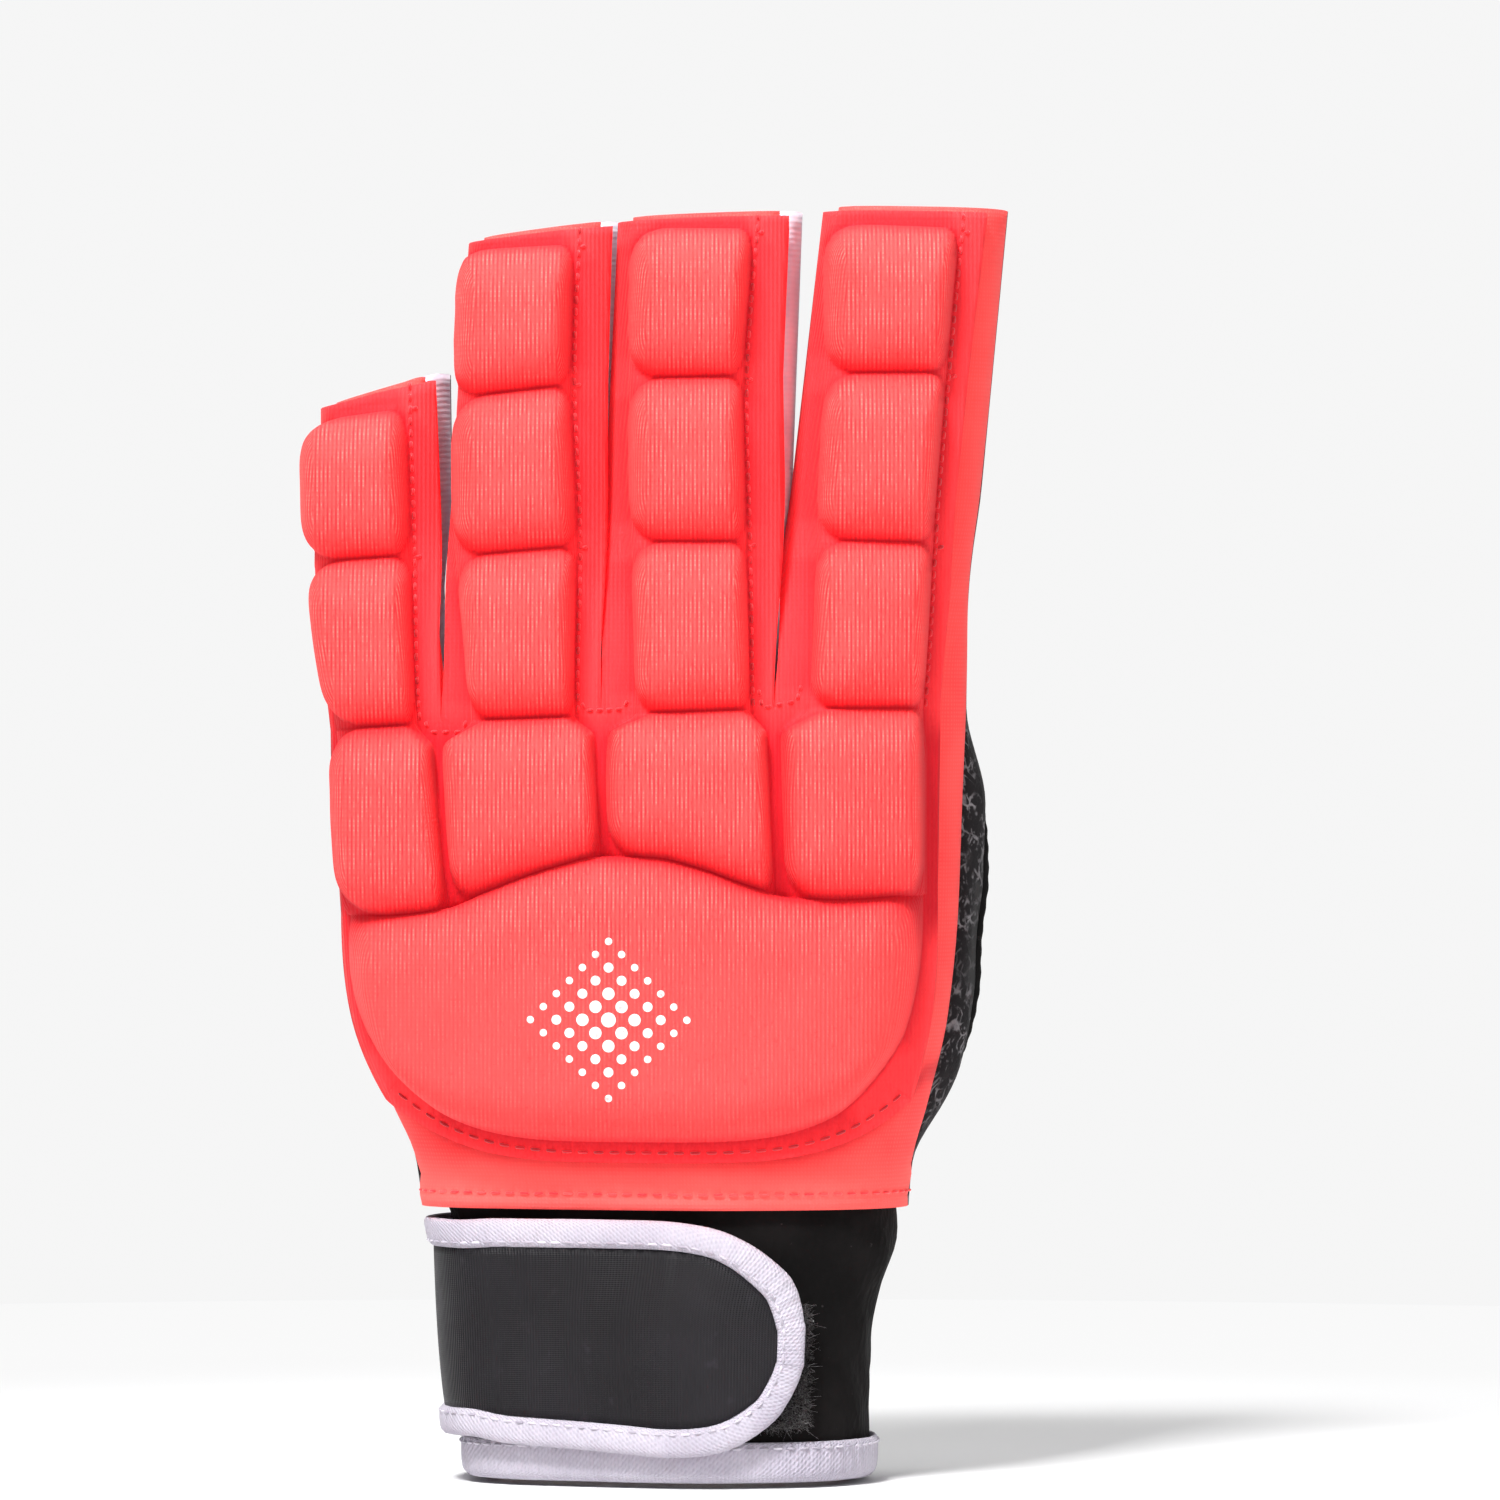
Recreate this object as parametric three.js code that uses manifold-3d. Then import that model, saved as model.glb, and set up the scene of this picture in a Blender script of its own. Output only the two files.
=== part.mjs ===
// Padded half-finger glove for the left hand: a moulded foam back on a fabric shell, a cuff and a strap.
// Millimetres, +Z towards the fingertips, the back of the hand facing -Y and the thumb side +X.
// The origin is the middle of the wrist opening, at the glove's lower edge.
import * as THREE from "three";
import { mergeVertices } from "three/addons/utils/BufferGeometryUtils.js";
import Module from "manifold-3d";

const wasm = await Module();
wasm.setup();

// Driving dimensions
const FABRIC = 1.3; // thickness of the shell, palm and side walls
const SIDE_FABRIC = 1.0; // thickness of the stretch walls between the fingers
const FLANGE = 1.6; // pressed foam around and between the blocks
const SEAM_ANGLE = 0.5; // half the gap at a side seam, in section degrees
const PAD_LIFT = 0.7; // the moulded back stands this far off the shell
const BLOCK_HEIGHT = 8.6; // finger blocks above the flange
const KNUCKLE_HEIGHT = 9.6;
const BACK_HEIGHT = 8.8;
const LEFT_SHOULDER = 7; // run of a block's rounded edge on the little finger's side
const RIGHT_SHOULDER = 2.6; // on the thumb's side
const UPRIGHT = 0.8; // share of the finger's lean that a block's side on the thumb's side is without
const END_SHOULDER = 9; // and towards the creases above and below it
const CORNER = 3.4; // how square the corners of a block are: 2 is a quarter circle
const SWELL = 1.9; // how far the little finger's blocks swell past the glove's side
const CREASE = 0.3; // share of the height left in the crease between two blocks
const VALLEY = 0.3; // and between two knuckle blocks
const BACK_SHOULDER = 8;
const APEX = 0.3; // where the back of the hand is highest, from -1 at the little finger to 1 at the thumb
const ULNAR_FALL = 0.27; // share of that height lost at the little finger's edge
const BODY_POWER = 2.7; // squareness of the hand's section
const FINGER_POWER = 2.7; // and of a finger's
const SHOULDER = 30; // section angle at which the back turns into the side
const WRAP = 5; // degrees round the side for each further millimetre
const SHELL_BOTTOM = 41.2; // lower hem of the shell and palm
const BACK_SLIT = 117; // the fingers part above this height on the back
const PALM_SLIT = 131; // and above this one on the palm
const FINGER_FULL = 150; // here the fingers have their own round section
const FINGER_BEND = 5; // how far the fingertips lean towards the palm
const PALM_EDGE = 40; // angle past a finger's side at which the palm begins
const WALL_GAP = 0.3; // half the space between two fingers' walls at a crotch
const LAP = 1.9; // depth below the shell of the side walls' edges

// A row for each section of the hand, from the wrist up. left and right are the silhouette.
const BODY = table(["z", "left", "right", "dorsal", "palm"], [
  [36, -35.8, 37.2, 22.6, 21.5],
  [48, -37.2, 38.2, 21.8, 21.5],
  [57, -41.0, 40.6, 20.8, 21.5],
  [70, -45.8, 43.6, 19.8, 21.5],
  [86, -47.4, 45.2, 19.0, 20.0],
  [102, -48.2, 45.8, 18.2, 16.5],
  [118, -49.0, 46.4, 17.2, 14.0],
  [150, -53.0, 46.8, 16.0, 12.5],
]);

// A row for each finger's tube. lean is how far its back turns to the little finger's side, in degrees.
const FINGERS = rows(["rootX", "tipX", "rootHalf", "tipHalf", "depth", "centreY", "lean"], [
  [-40.2, -41.0, 8.6, 8.0, 8.4, 1.2, 24],
  [-19.6, -16.6, 11.6, 9.8, 9.2, -3.2, 16],
  [5.6, 8.6, 13.1, 12.8, 9.8, -5.0, 12],
  [31.8, 39.6, 13.6, 12.8, 9.8, -5.2, 10],
]);
const ROOT_Z = 118; // the tubes run from here
const TIP_Z = 190; // to here
const TIP_MARGIN = 0.8; // the shell ends this far past the flange

// A row for each line across a finger of the moulded back, from the knuckle groove up to the flange's end.
const LINES = ["zLeft", "zRight", "flangeLeft", "blockLeft", "blockRight", "flangeRight"];
const STRIPS = [
  rows(LINES, [
    [113.2, 114.5, -47.6, -46.4, -36.0, -32.6],
    [138.5, 140.0, -51.0, -50.2, -38.0, -33.7],
    [160.0, 162.5, -51.6, -51.0, -38.8, -35.0],
    [161.6, 166.2, -51.6, -51.0, -38.8, -35.3],
  ]),
  rows(LINES, [
    [114.5, 115.5, -32.6, -28.0, -12.3, -8.6],
    [139.2, 141.3, -31.0, -29.2, -13.1, -9.0],
    [163.1, 165.8, -30.4, -29.0, -13.9, -9.2],
    [185.8, 186.8, -30.2, -29.0, -13.3, -8.6],
    [186.8, 189.5, -30.2, -29.0, -13.3, -8.4],
  ]),
  rows(LINES, [
    [115.5, 116.5, -8.6, -3.6, 13.5, 16.9],
    [141.6, 141.6, -7.6, -3.2, 12.6, 17.2],
    [166.2, 166.5, -6.9, -3.2, 12.3, 17.1],
    [189.2, 188.8, -5.8, -2.8, 13.8, 18.0],
    [190.2, 190.9, -5.7, -2.8, 13.8, 18.0],
  ]),
  rows(LINES, [
    [116.5, 116.5, 16.9, 21.8, 38.6, 40.9],
    [142.1, 141.3, 19.5, 24.6, 40.6, 42.9],
    [167.0, 167.0, 22.1, 26.3, 42.8, 45.5],
    [190.0, 188.8, 23.9, 26.8, 44.8, 48.0],
    [191.9, 191.3, 24.0, 26.8, 44.8, 48.3],
  ]),
];

// A row for each knuckle block: the x of its sides under the finger groove and at the groove below it.
const KNUCKLES = rows(["topLeft", "topRight", "bottomLeft", "bottomRight"], [
  [-46.0, -33.4, -44.4, -31.2],
  [-31.8, -9.4, -29.7, -8.4],
  [-7.6, 16.0, -7.0, 17.0],
  [17.8, 38.7, 18.6, 38.4],
]);
const GROOVE = table(["x", "z"], [
  [-48, 85.6], [-40, 85.3], [-30.4, 86.6], [-24, 89.3], [-15, 92.7], [-7.7, 94.4],
  [0, 94.1], [6, 92.6], [13, 90.0], [19.5, 88.2], [27, 87.8], [36, 88.4], [44, 89.0],
]);
const KNUCKLE_FLANGE = { bottomLeft: -46.0, bottomRight: 40.4 };
const WEB = 0.14; // share of a knuckle's height in which the web between two fingers narrows to a groove

// Lower outline of the large pad and of the flange around it: lowest height, rise at the ends, ends in x.
const PAD_EDGE = { low: 51.4, rise: 9.4, left: -38.0, right: 32.6, power: 4 };
const FLANGE_EDGE = { low: 48.4, rise: 9.0, left: -39.4, right: 36.2, power: 4 };
const PAD_SIDE_POWER = 2.6; // how late the pad's sides turn in towards its lower edge

// Thumb hole on the surface of the palm: angle past the thumb side and height, with their half extents.
const THUMB = { angle: 31, halfAngle: 30.5, height: 82, halfHeight: 28 };
const THUMB_FLARE = 3.6; // the palm stands out this far around the hole
const THUMB_CORD = 1.6; // radius of the bound edge
const THUMB_SEAM = 4; // angle before the side at which shell and palm meet on the thumb side
const INDEX_SEAM = -5; // past the side along the index finger
const LITTLE_SEAM = 4; // and on the little finger's side

// Cuff, its binding and the strap. Offsets are from the cuff's outer face.
const CUFF = { top: 46.5, bottom: 3.4, thickness: 2.6 };
const CUFF_LINE = table(["z", "left", "right", "dorsal", "palm"], [
  [0, -28.6, 31.2, 21.0, 19.6],
  [10, -29.0, 31.5, 20.8, 19.6],
  [24, -29.6, 32.2, 20.6, 19.6],
  [36, -30.8, 35.6, 20.5, 19.6],
  [41, -32.2, 35.8, 20.5, 19.7],
  [47, -35.3, 35.8, 20.1, 19.6],
]);
const BINDING = { height: 6.4, leaf: 1.2, clearance: 0.3 };
const STRAP = { thickness: 2, stand: 3.3, palmEnd: 6, edge: 4.1, edgeThickness: 2.8 };
const STRAP_LINE = table(["x", "top", "low"], [
  [-31, 39.3, 6.8], [-24, 39.6, 6.1], [-9, 39.7, 5.2], [2, 39.4, 4.4], [8, 38.0, 4.9], [12, 35.8, 6.3],
  [16, 32.8, 8.8], [18, 31.0, 10.7], [19.4, 29.0, 13.0], [20.3, 27.2, 14.8], [20.9, 25.6, 16.4],
  [21.3, 24.0, 18.0], [21.5, 22.7, 19.3], [21.6, 21.5, 20.5],
]);
const STRAP_TIP = { x: 20.3, z: 21 };
const PATCH = { left: 0, right: 21.6, low: 8.4, high: 27, thickness: 1.1, clearance: 0.45 };

function rows(names, values) {
  return values.map((row) => Object.fromEntries(names.map((name, k) => [name, row[k]])));
}

// A table read at any value of its first column, by a cubic that never overshoots.
function table(names, values) {
  const knots = values.map((row) => row[0]);
  return (at) =>
    Object.fromEntries(names.map((name, k) => [name, cubic(knots, values.map((row) => row[k]), at)]));
}

function cubic(knots, values, at) {
  const last = knots.length - 1;
  const x = Math.min(Math.max(at, knots[0]), knots[last]);
  let i = 0;
  while (i < last - 1 && x > knots[i + 1]) i += 1;
  const slope = (k) => (values[k + 1] - values[k]) / (knots[k + 1] - knots[k]);
  const tangent = (k) => {
    if (k === 0) return slope(0);
    if (k === last) return slope(last - 1);
    const [a, b] = [slope(k - 1), slope(k)];
    return a * b <= 0 ? 0 : (2 * a * b) / (a + b);
  };
  const step = knots[i + 1] - knots[i];
  const t = (x - knots[i]) / step;
  const [t2, t3] = [t * t, t * t * t];
  return (2 * t3 - 3 * t2 + 1) * values[i] + (t3 - 2 * t2 + t) * step * tangent(i)
    + (3 * t2 - 2 * t3) * values[i + 1] + (t3 - t2) * step * tangent(i + 1);
}

const mix = (a, b, t) => a + (b - a) * t;
const ease = (t) => {
  const s = Math.min(Math.max(t, 0), 1);
  return s * s * (3 - 2 * s);
};
const radians = (degrees) => (degrees * Math.PI) / 180;
const power = (value, exponent) => Math.sign(value) * Math.abs(value) ** exponent;
const range = (from, to, count) => Array.from({ length: count + 1 }, (_, k) => mix(from, to, k / count));
const whole = (count) => Array.from({ length: count + 1 }, (_, k) => k);
const alternate = (count) => whole(count).filter((k) => k % 2 === 0 || k === count);
const bend = (z) => FINGER_BEND * Math.max(0, (z - BACK_SLIT) / 78) ** 2;
const blend = (a, b, t) => a.clone().lerp(b, t);
const vector = (x, y, z) => new THREE.Vector3(x, y, z);

// Section of the hand at an angle from the thumb side: 90 is the back, -90 the palm.
function bodyPoint(angle, z, shape = BODY) {
  const s = shape(z);
  const [c, q] = [Math.cos(radians(angle)), Math.sin(radians(angle))];
  const u = power(c, 2 / BODY_POWER);
  const fall = 1 - ULNAR_FALL * ease((APEX - u) / 1.1);
  const y = q > 0 ? -s.dorsal * power(q, 2 / BODY_POWER) * fall : -s.palm * power(q, 2 / BODY_POWER);
  return vector(mix(s.left, s.right, (u + 1) / 2), y, z);
}

// Section of a finger, its back turned by the finger's lean.
function fingerPoint(finger, angle, z) {
  const f = FINGERS[finger];
  const t = (z - ROOT_Z) / (TIP_Z - ROOT_Z);
  const p = mix(f.rootHalf, f.tipHalf, t) * power(Math.cos(radians(angle)), 2 / FINGER_POWER);
  const q = f.depth * power(Math.sin(radians(angle)), 2 / FINGER_POWER);
  const [c, s] = [Math.cos(radians(f.lean)), Math.sin(radians(f.lean))];
  return vector(mix(f.rootX, f.tipX, t) + p * c - q * s, f.centreY - p * s - q * c + bend(z), z);
}

// Outward direction of a section curve at an angle.
function outward(curve, angle) {
  const tangent = curve(angle + 1).sub(curve(angle - 1));
  return vector(tangent.y, -tangent.x, 0).normalize().negate();
}

// The angle at which a section curve reaches an x on its back. Past the shoulders x runs on round the side.
function angleAt(curve, x) {
  const [left, right] = [curve(180 - SHOULDER).x, curve(SHOULDER).x];
  if (x < left) return 180 - SHOULDER + WRAP * (left - x);
  if (x > right) return SHOULDER - WRAP * (x - right);
  let [low, high] = [SHOULDER, 180 - SHOULDER];
  for (let k = 0; k < 30; k += 1) {
    const middle = (low + high) / 2;
    if (curve(middle).x > x) low = middle;
    else high = middle;
  }
  return (low + high) / 2;
}

// How far a finger has its own section at a height. depth runs from 0 on the back to 1 on the palm.
function own(z, depth) {
  const start = mix(BACK_SLIT, PALM_SLIT, depth);
  return ease((z - start) / (FINGER_FULL - start));
}

// A sheet is a list of patches. A patch is a grid of points with an outer and an inner side; innerRows and
// innerColumns thin the inner side out, and free says from which row up each side edge is a free edge.
function sheet(patches) {
  const corners = [];
  const triangle = (a, b, c, turned) => corners.push(a, turned ? c : b, turned ? b : c);
  const rim = (line, kept, turned) => {
    for (let k = 0; k < kept.length - 1; k += 1) {
      const [a, b] = [kept[k], kept[k + 1]];
      for (let j = a; j < b; j += 1) triangle(line[j + 1].outer, line[j].outer, line[a].inner, turned);
      triangle(line[b].outer, line[a].inner, line[b].inner, turned);
    }
  };
  for (const { grid, innerRows, innerColumns, free } of patches) {
    const [r1, c1] = [grid.length - 1, grid[0].length - 1];
    const keptRows = innerRows ?? whole(r1);
    const keptColumns = innerColumns ?? whole(c1);
    for (let r = 0; r < r1; r += 1) {
      for (let c = 0; c < c1; c += 1) {
        const corners = [grid[r][c], grid[r][c + 1], grid[r + 1][c + 1], grid[r + 1][c]];
        const [p, q, s, t] = corners.map((v) => v.outer);
        triangle(p, q, s);
        triangle(p, s, t);
      }
    }
    for (let j = 0; j < keptRows.length - 1; j += 1) {
      for (let k = 0; k < keptColumns.length - 1; k += 1) {
        const [low, high] = [grid[keptRows[j]], grid[keptRows[j + 1]]];
        const [a, b] = [keptColumns[k], keptColumns[k + 1]];
        triangle(low[a].inner, high[b].inner, low[b].inner);
        triangle(low[a].inner, high[a].inner, high[b].inner);
      }
    }
    const column = (c, from) => [grid.map((row) => row[c]), keptRows.filter((r) => r >= from)];
    rim(grid[0], keptColumns, false);
    rim(grid[r1], keptColumns, true);
    rim(...column(0, free?.left ?? 0), true);
    rim(...column(c1, free?.right ?? 0), false);
  }
  return solid(corners);
}

function solid(corners) {
  const flat = new Float32Array(corners.length * 3);
  corners.forEach((corner, k) => corner.toArray(flat, k * 3));
  const geometry = new THREE.BufferGeometry();
  geometry.setAttribute("position", new THREE.BufferAttribute(flat, 3));
  const welded = mergeVertices(geometry, 1e-4);
  const index = [...welded.index.array];
  const position = welded.getAttribute("position");
  const point = (k) => vector(position.getX(k), position.getY(k), position.getZ(k));
  let volume = 0;
  for (let k = 0; k < index.length; k += 3) {
    volume += point(index[k]).dot(point(index[k + 1]).cross(point(index[k + 2])));
  }
  if (volume < 0) index.reverse();
  const kept = [];
  for (let k = 0; k < index.length; k += 3) {
    const [a, b, c] = index.slice(k, k + 3);
    if (a !== b && b !== c && c !== a) kept.push(a, b, c);
  }
  welded.setIndex(kept);
  return welded;
}

// The moulded back
const SIDES = [0, 0, 0.7, 2.8, LEFT_SHOULDER, RIGHT_SHOULDER, 1.0, 0.25, 0, 0];
const ALONG = [0.8, 3.6, END_SHOULDER, -END_SHOULDER, -3.6, -0.8];
const SWELLING = [0, 0, 1, 0.95, 0.3, 0, 0, 0, 0, 0]; // its share at each column
const ROWS_PER_BLOCK = ALONG.length + 1;
const near = (distance, shoulder) => Math.max(0, 1 - distance / shoulder);
const round = (a) => Math.sqrt(Math.max(0, 1 - a * a));
const dome = (a, b, height) => height * round(Math.hypot(a, b));
const side = (c) => near(SIDES[c], c < SIDES.length / 2 ? LEFT_SHOULDER : RIGHT_SHOULDER);
const alongBlock = (distance, crease) => mix(crease, 1, round(near(distance, END_SHOULDER)));
// Share of a block's height, its corners rounded off, with the crease's share left at its ends.
const puff = (a, distance, crease) => {
  const corner = (a ** CORNER + near(distance, END_SHOULDER) ** CORNER) ** (1 / CORNER);
  return Math.hypot(crease * round(a), round(crease) * round(corner));
};

// A point of the back surface under an x and z, with the outward direction and the lean of a block on it.
function backSurface(finger, x, z) {
  const body = (angle) => bodyPoint(angle, z);
  const tube = (angle) => fingerPoint(finger, angle, z);
  const [phi, theta, share] = [angleAt(body, x), angleAt(tube, x), own(z, 0)];
  const u = power(Math.cos(radians(phi)), 2 / BODY_POWER);
  const lean = mix(26 * Math.max(0, (0.75 - u) / 1.75) ** 1.5, FINGERS[finger].lean, share);
  return {
    point: blend(body(phi), tube(theta), share),
    normal: blend(outward(body, phi), outward(tube, theta), share).normalize(),
    lean,
  };
}

function columnsOf(flangeLeft, left, right, flangeRight) {
  return SIDES.map((side, c) => {
    if (c === 0) return flangeLeft;
    if (c === SIDES.length - 1) return flangeRight;
    return c < SIDES.length / 2 ? left + side : right - side;
  });
}

// A row is a list of columns, each with an x, a z and a height above the flange.
function stripRows(finger) {
  const lines = STRIPS[finger].map((line, i) => {
    const xs = columnsOf(line.flangeLeft, line.blockLeft, line.blockRight, line.flangeRight);
    const tilt = (x) => mix(line.zLeft, line.zRight, (x - xs[0]) / (xs[9] - xs[0]));
    const crease = i < STRIPS[finger].length - 2 ? CREASE : 0;
    return xs.map((x, c) => ({ x, z: tilt(x), h: BLOCK_HEIGHT * puff(side(c), 0, crease) }));
  });
  const result = [lines[0]];
  for (let i = 0; i < lines.length - 1; i += 1) {
    if (i < lines.length - 2) {
      for (const d of ALONG) {
        result.push(lines[i].map((low, c) => {
          const high = lines[i + 1][c];
          const t = d > 0 ? d / (high.z - low.z) : 1 + d / (high.z - low.z);
          const crease = d < 0 && i === lines.length - 3 ? 0 : CREASE;
          const h = BLOCK_HEIGHT * puff(side(c), Math.abs(d), crease);
          return { x: mix(low.x, high.x, t), z: mix(low.z, high.z, t), h };
        }));
      }
    }
    result.push(lines[i + 1]);
  }
  return result;
}

function knuckleRows(finger, top) {
  const k = KNUCKLES[finger];
  const middle = (right, left) => (right + left) / 2;
  const first = KNUCKLE_FLANGE.bottomLeft;
  const last = KNUCKLE_FLANGE.bottomRight;
  const low = {
    left: finger > 0 ? middle(KNUCKLES[finger - 1].bottomRight, k.bottomLeft) : first,
    right: finger < 3 ? middle(k.bottomRight, KNUCKLES[finger + 1].bottomLeft) : last,
  };
  // The valleys beside a block run out to the flange at the web between two fingers.
  const rise = (c, t, distance) => {
    const edge = (finger === 0 && c < 2) || (finger === 3 && c > SIDES.length - 3);
    const valley = edge ? 0 : VALLEY * (1 - ease((t - 0.45) / 0.5)) * alongBlock(distance, CREASE);
    return KNUCKLE_HEIGHT * Math.hypot(valley, round(valley) * puff(side(c), distance, CREASE));
  };
  const bottom = columnsOf(low.left, k.bottomLeft, k.bottomRight, low.right)
    .map((x, c) => ({ x, z: GROOVE(x).z, h: rise(c, 0, 0) }));
  const high = columnsOf(top[0].x, k.topLeft, k.topRight, top[9].x);
  const result = [bottom];
  for (const d of ALONG) {
    result.push(bottom.map((point, c) => {
      const z = d > 0 ? point.z + d : top[c].z + d;
      const t = (z - point.z) / (top[c].z - point.z);
      const wide = mix(point.x, high[c], Math.min(1, t / (1 - WEB)));
      const x = mix(wide, top[c].x, ease((t - 1 + WEB) / WEB));
      return { x, z, h: rise(c, t, Math.abs(d)) };
    }));
  }
  return result;
}

const edgePoint = (edge, g) => ({
  x: mix(edge.left, edge.right, (g + 1) / 2),
  z: edge.low + edge.rise * Math.abs(g) ** edge.power,
});

// The large pad below the knuckles, listed from its lower edge up.
function padRows(finger, groove) {
  const [left, right] = [KNUCKLES[0].bottomLeft, KNUCKLES[3].bottomRight];
  const side = (s) => 1 - (1 - s) ** PAD_SIDE_POWER;
  const paths = groove.map((top, c) => {
    const g = Math.min(1, Math.max(-1, (2 * (top.x - left)) / (right - left) - 1));
    const outer = (finger === 0 && c === 0) || (finger === 3 && c === SIDES.length - 1);
    return { top, g, outer, low: edgePoint(outer ? FLANGE_EDGE : PAD_EDGE, g) };
  });
  const result = [paths.map(({ g }) => ({ ...edgePoint(FLANGE_EDGE, g), h: 0 }))];
  for (const d of [0, 0.6, 2.6, BACK_SHOULDER, null, -END_SHOULDER, -3.6, -0.8]) {
    result.push(paths.map(({ top, low, outer, g }) => {
      const length = top.z - low.z;
      const s = d === null ? 0.55 : d >= 0 ? d / length : 1 + d / length;
      const z = mix(low.z, top.z, s);
      const x = mix(low.x, top.x, side(s));
      const ends = [mix(PAD_EDGE.left, left, side(s)), mix(PAD_EDGE.right, right, side(s))];
      const reach = Math.min(x - ends[0], ends[1] - x);
      const a = near(Math.max(0, reach), BACK_SHOULDER);
      const h = dome(a, near(z - low.z, BACK_SHOULDER), BACK_HEIGHT) * alongBlock(top.z - z, CREASE);
      return { x, z, g, h: outer ? 0 : h };
    }));
  }
  return result;
}

function paddedBack() {
  const across = [0, 1, 3, 4, 5, 6, 8, 9];
  return sheet([0, 1, 2, 3].map((finger) => {
    const upper = stripRows(finger);
    const knuckle = knuckleRows(finger, upper[0]);
    const lower = padRows(finger, knuckle[0]);
    const grid = [...lower, ...knuckle, ...upper].map((row, r) => row.map(({ x, z, h }, c) => {
      const { point, normal, lean } = backSurface(finger, x, z);
      const thumbSide = c >= SIDES.length / 2 && c < SIDES.length - 1;
      const upright = thumbSide && r > lower.length ? UPRIGHT : 0;
      const tilt = radians(lean * (1 - upright));
      const direction = vector(-Math.sin(tilt), -Math.cos(tilt), 0);
      if (finger === 0 && r > lower.length) direction.x -= (SWELL * SWELLING[c]) / BLOCK_HEIGHT;
      return {
        outer: point.clone().addScaledVector(normal, PAD_LIFT + FLANGE).addScaledVector(direction, h),
        inner: point.clone().addScaledVector(normal, PAD_LIFT),
      };
    }));
    const slit = lower.length + knuckle.length;
    const kept = whole(grid.length - 1).filter((r) => {
      if (r < lower.length) return [0, 1, 4, 5, 6].includes(r);
      return [0, 3, 4].includes((r - lower.length) % ROWS_PER_BLOCK) || r > grid.length - 3;
    });
    return {
      grid,
      innerRows: kept,
      innerColumns: across,
      free: { left: finger === 0 ? 0 : slit, right: finger === 3 ? 0 : slit },
    };
  }));
}

// Height of a finger's open end at an x, past the end of the flange.
function tipHeight(finger, x) {
  const line = STRIPS[finger].at(-1);
  const t = (x - line.flangeLeft) / (line.flangeRight - line.flangeLeft);
  return mix(line.zLeft, line.zRight, Math.min(1.1, Math.max(-0.1, t))) + TIP_MARGIN;
}

// The x of a flange's edge at a height. Below the fingers it narrows with the hand.
function flangeX(finger, side, z) {
  const lines = STRIPS[finger];
  const names = side < 0 ? ["zLeft", "flangeLeft"] : ["zRight", "flangeRight"];
  const [knots, values] = names.map((name) => lines.map((line) => line[name]));
  if (z > knots[0]) return cubic(knots, values, z);
  const [root, here] = [BODY(knots[0]), BODY(z)];
  return mix(here.left, here.right, (values[0] - root.left) / (root.right - root.left));
}

// The side of a finger's strip of fabric. Up to the slit's root two neighbours share it.
function slitX(finger, side, z, root) {
  const x = flangeX(finger, side, z);
  return z > root || !STRIPS[finger + side] ? x : (x + flangeX(finger + side, -side, z)) / 2;
}

const SHELL_ROWS = [SHELL_BOTTOM, 47, 54, 62, 72, 84, 97, 108, BACK_SLIT];
const FINGER_ROWS = [0.09, 0.2, 0.32, 0.45, 0.6, 0.8, 1];
const PALM_ROWS = [SHELL_BOTTOM, 47, 54, 62, 70, 78, 86, 94, 102, 110, 120, PALM_SLIT];

const thick = (point, normal, thickness) => ({
  outer: point,
  inner: point.clone().addScaledVector(normal, -thickness),
});

// The fabric under the moulded back. Its columns run on round the outer sides down to the seams.
const thumbSeam = (z) => mix(THUMB_SEAM, INDEX_SEAM, Math.min(Math.max((z - 112) / 50, 0), 1));

function backShell() {
  const inner = range(0, 1, 5);
  return sheet([0, 1, 2, 3].map((finger) => {
    const around = finger === 0 ? range(1, 0, 4).slice(0, -1) : finger === 3 ? range(0, 1, 5).slice(1) : [];
    const surface = (z) => {
      const curves = [(angle) => bodyPoint(angle, z), (angle) => fingerPoint(finger, angle, z)];
      const xs = inner.map((s) => mix(slitX(finger, -1, z, BACK_SLIT), slitX(finger, 1, z, BACK_SLIT), s));
      const angles = curves.map((curve) => {
        const on = xs.map((x) => angleAt(curve, x));
        const from = finger === 0 ? on[0] : on.at(-1);
        const seam = finger === 0 ? 180 - LITTLE_SEAM - SEAM_ANGLE : thumbSeam(z) + SEAM_ANGLE;
        const off = around.map((t) => mix(from, seam, t));
        return finger === 0 ? [...off, ...on] : [...on, ...off];
      });
      return angles[0].map((phi, c) => {
        const steps = finger === 0 ? around.length - c : c - inner.length + 1;
        const share = own(z, around.length ? 0.5 * Math.max(0, steps / around.length) : 0);
        const theta = angles[1][c];
        const normal = blend(outward(curves[0], phi), outward(curves[1], theta), share).normalize();
        return thick(blend(curves[0](phi), curves[1](theta), share), normal, FABRIC);
      });
    };
    const nominal = surface(BACK_SLIT);
    const grid = SHELL_ROWS.map(surface);
    for (const t of FINGER_ROWS) {
      grid.push(nominal.map((start, c) => {
        const top = tipHeight(finger, surface(TIP_Z)[c].outer.x);
        return surface(mix(BACK_SLIT, top, t))[c];
      }));
    }
    const slit = SHELL_ROWS.length - 1;
    const free = { left: finger === 0 ? 0 : slit, right: finger === 3 ? 0 : slit };
    return { grid, innerColumns: alternate(grid[0].length - 1), free };
  }));
}

// How far the palm stands out round the thumb hole.
function flare(angle, z) {
  const along = 1 - ease((Math.abs(z - THUMB.height) - 0.7 * THUMB.halfHeight) / 16);
  return THUMB_FLARE * ease((THUMB_SEAM - angle) / 6) * along * (1 - ease((-angle - 46) / 24));
}

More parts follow.
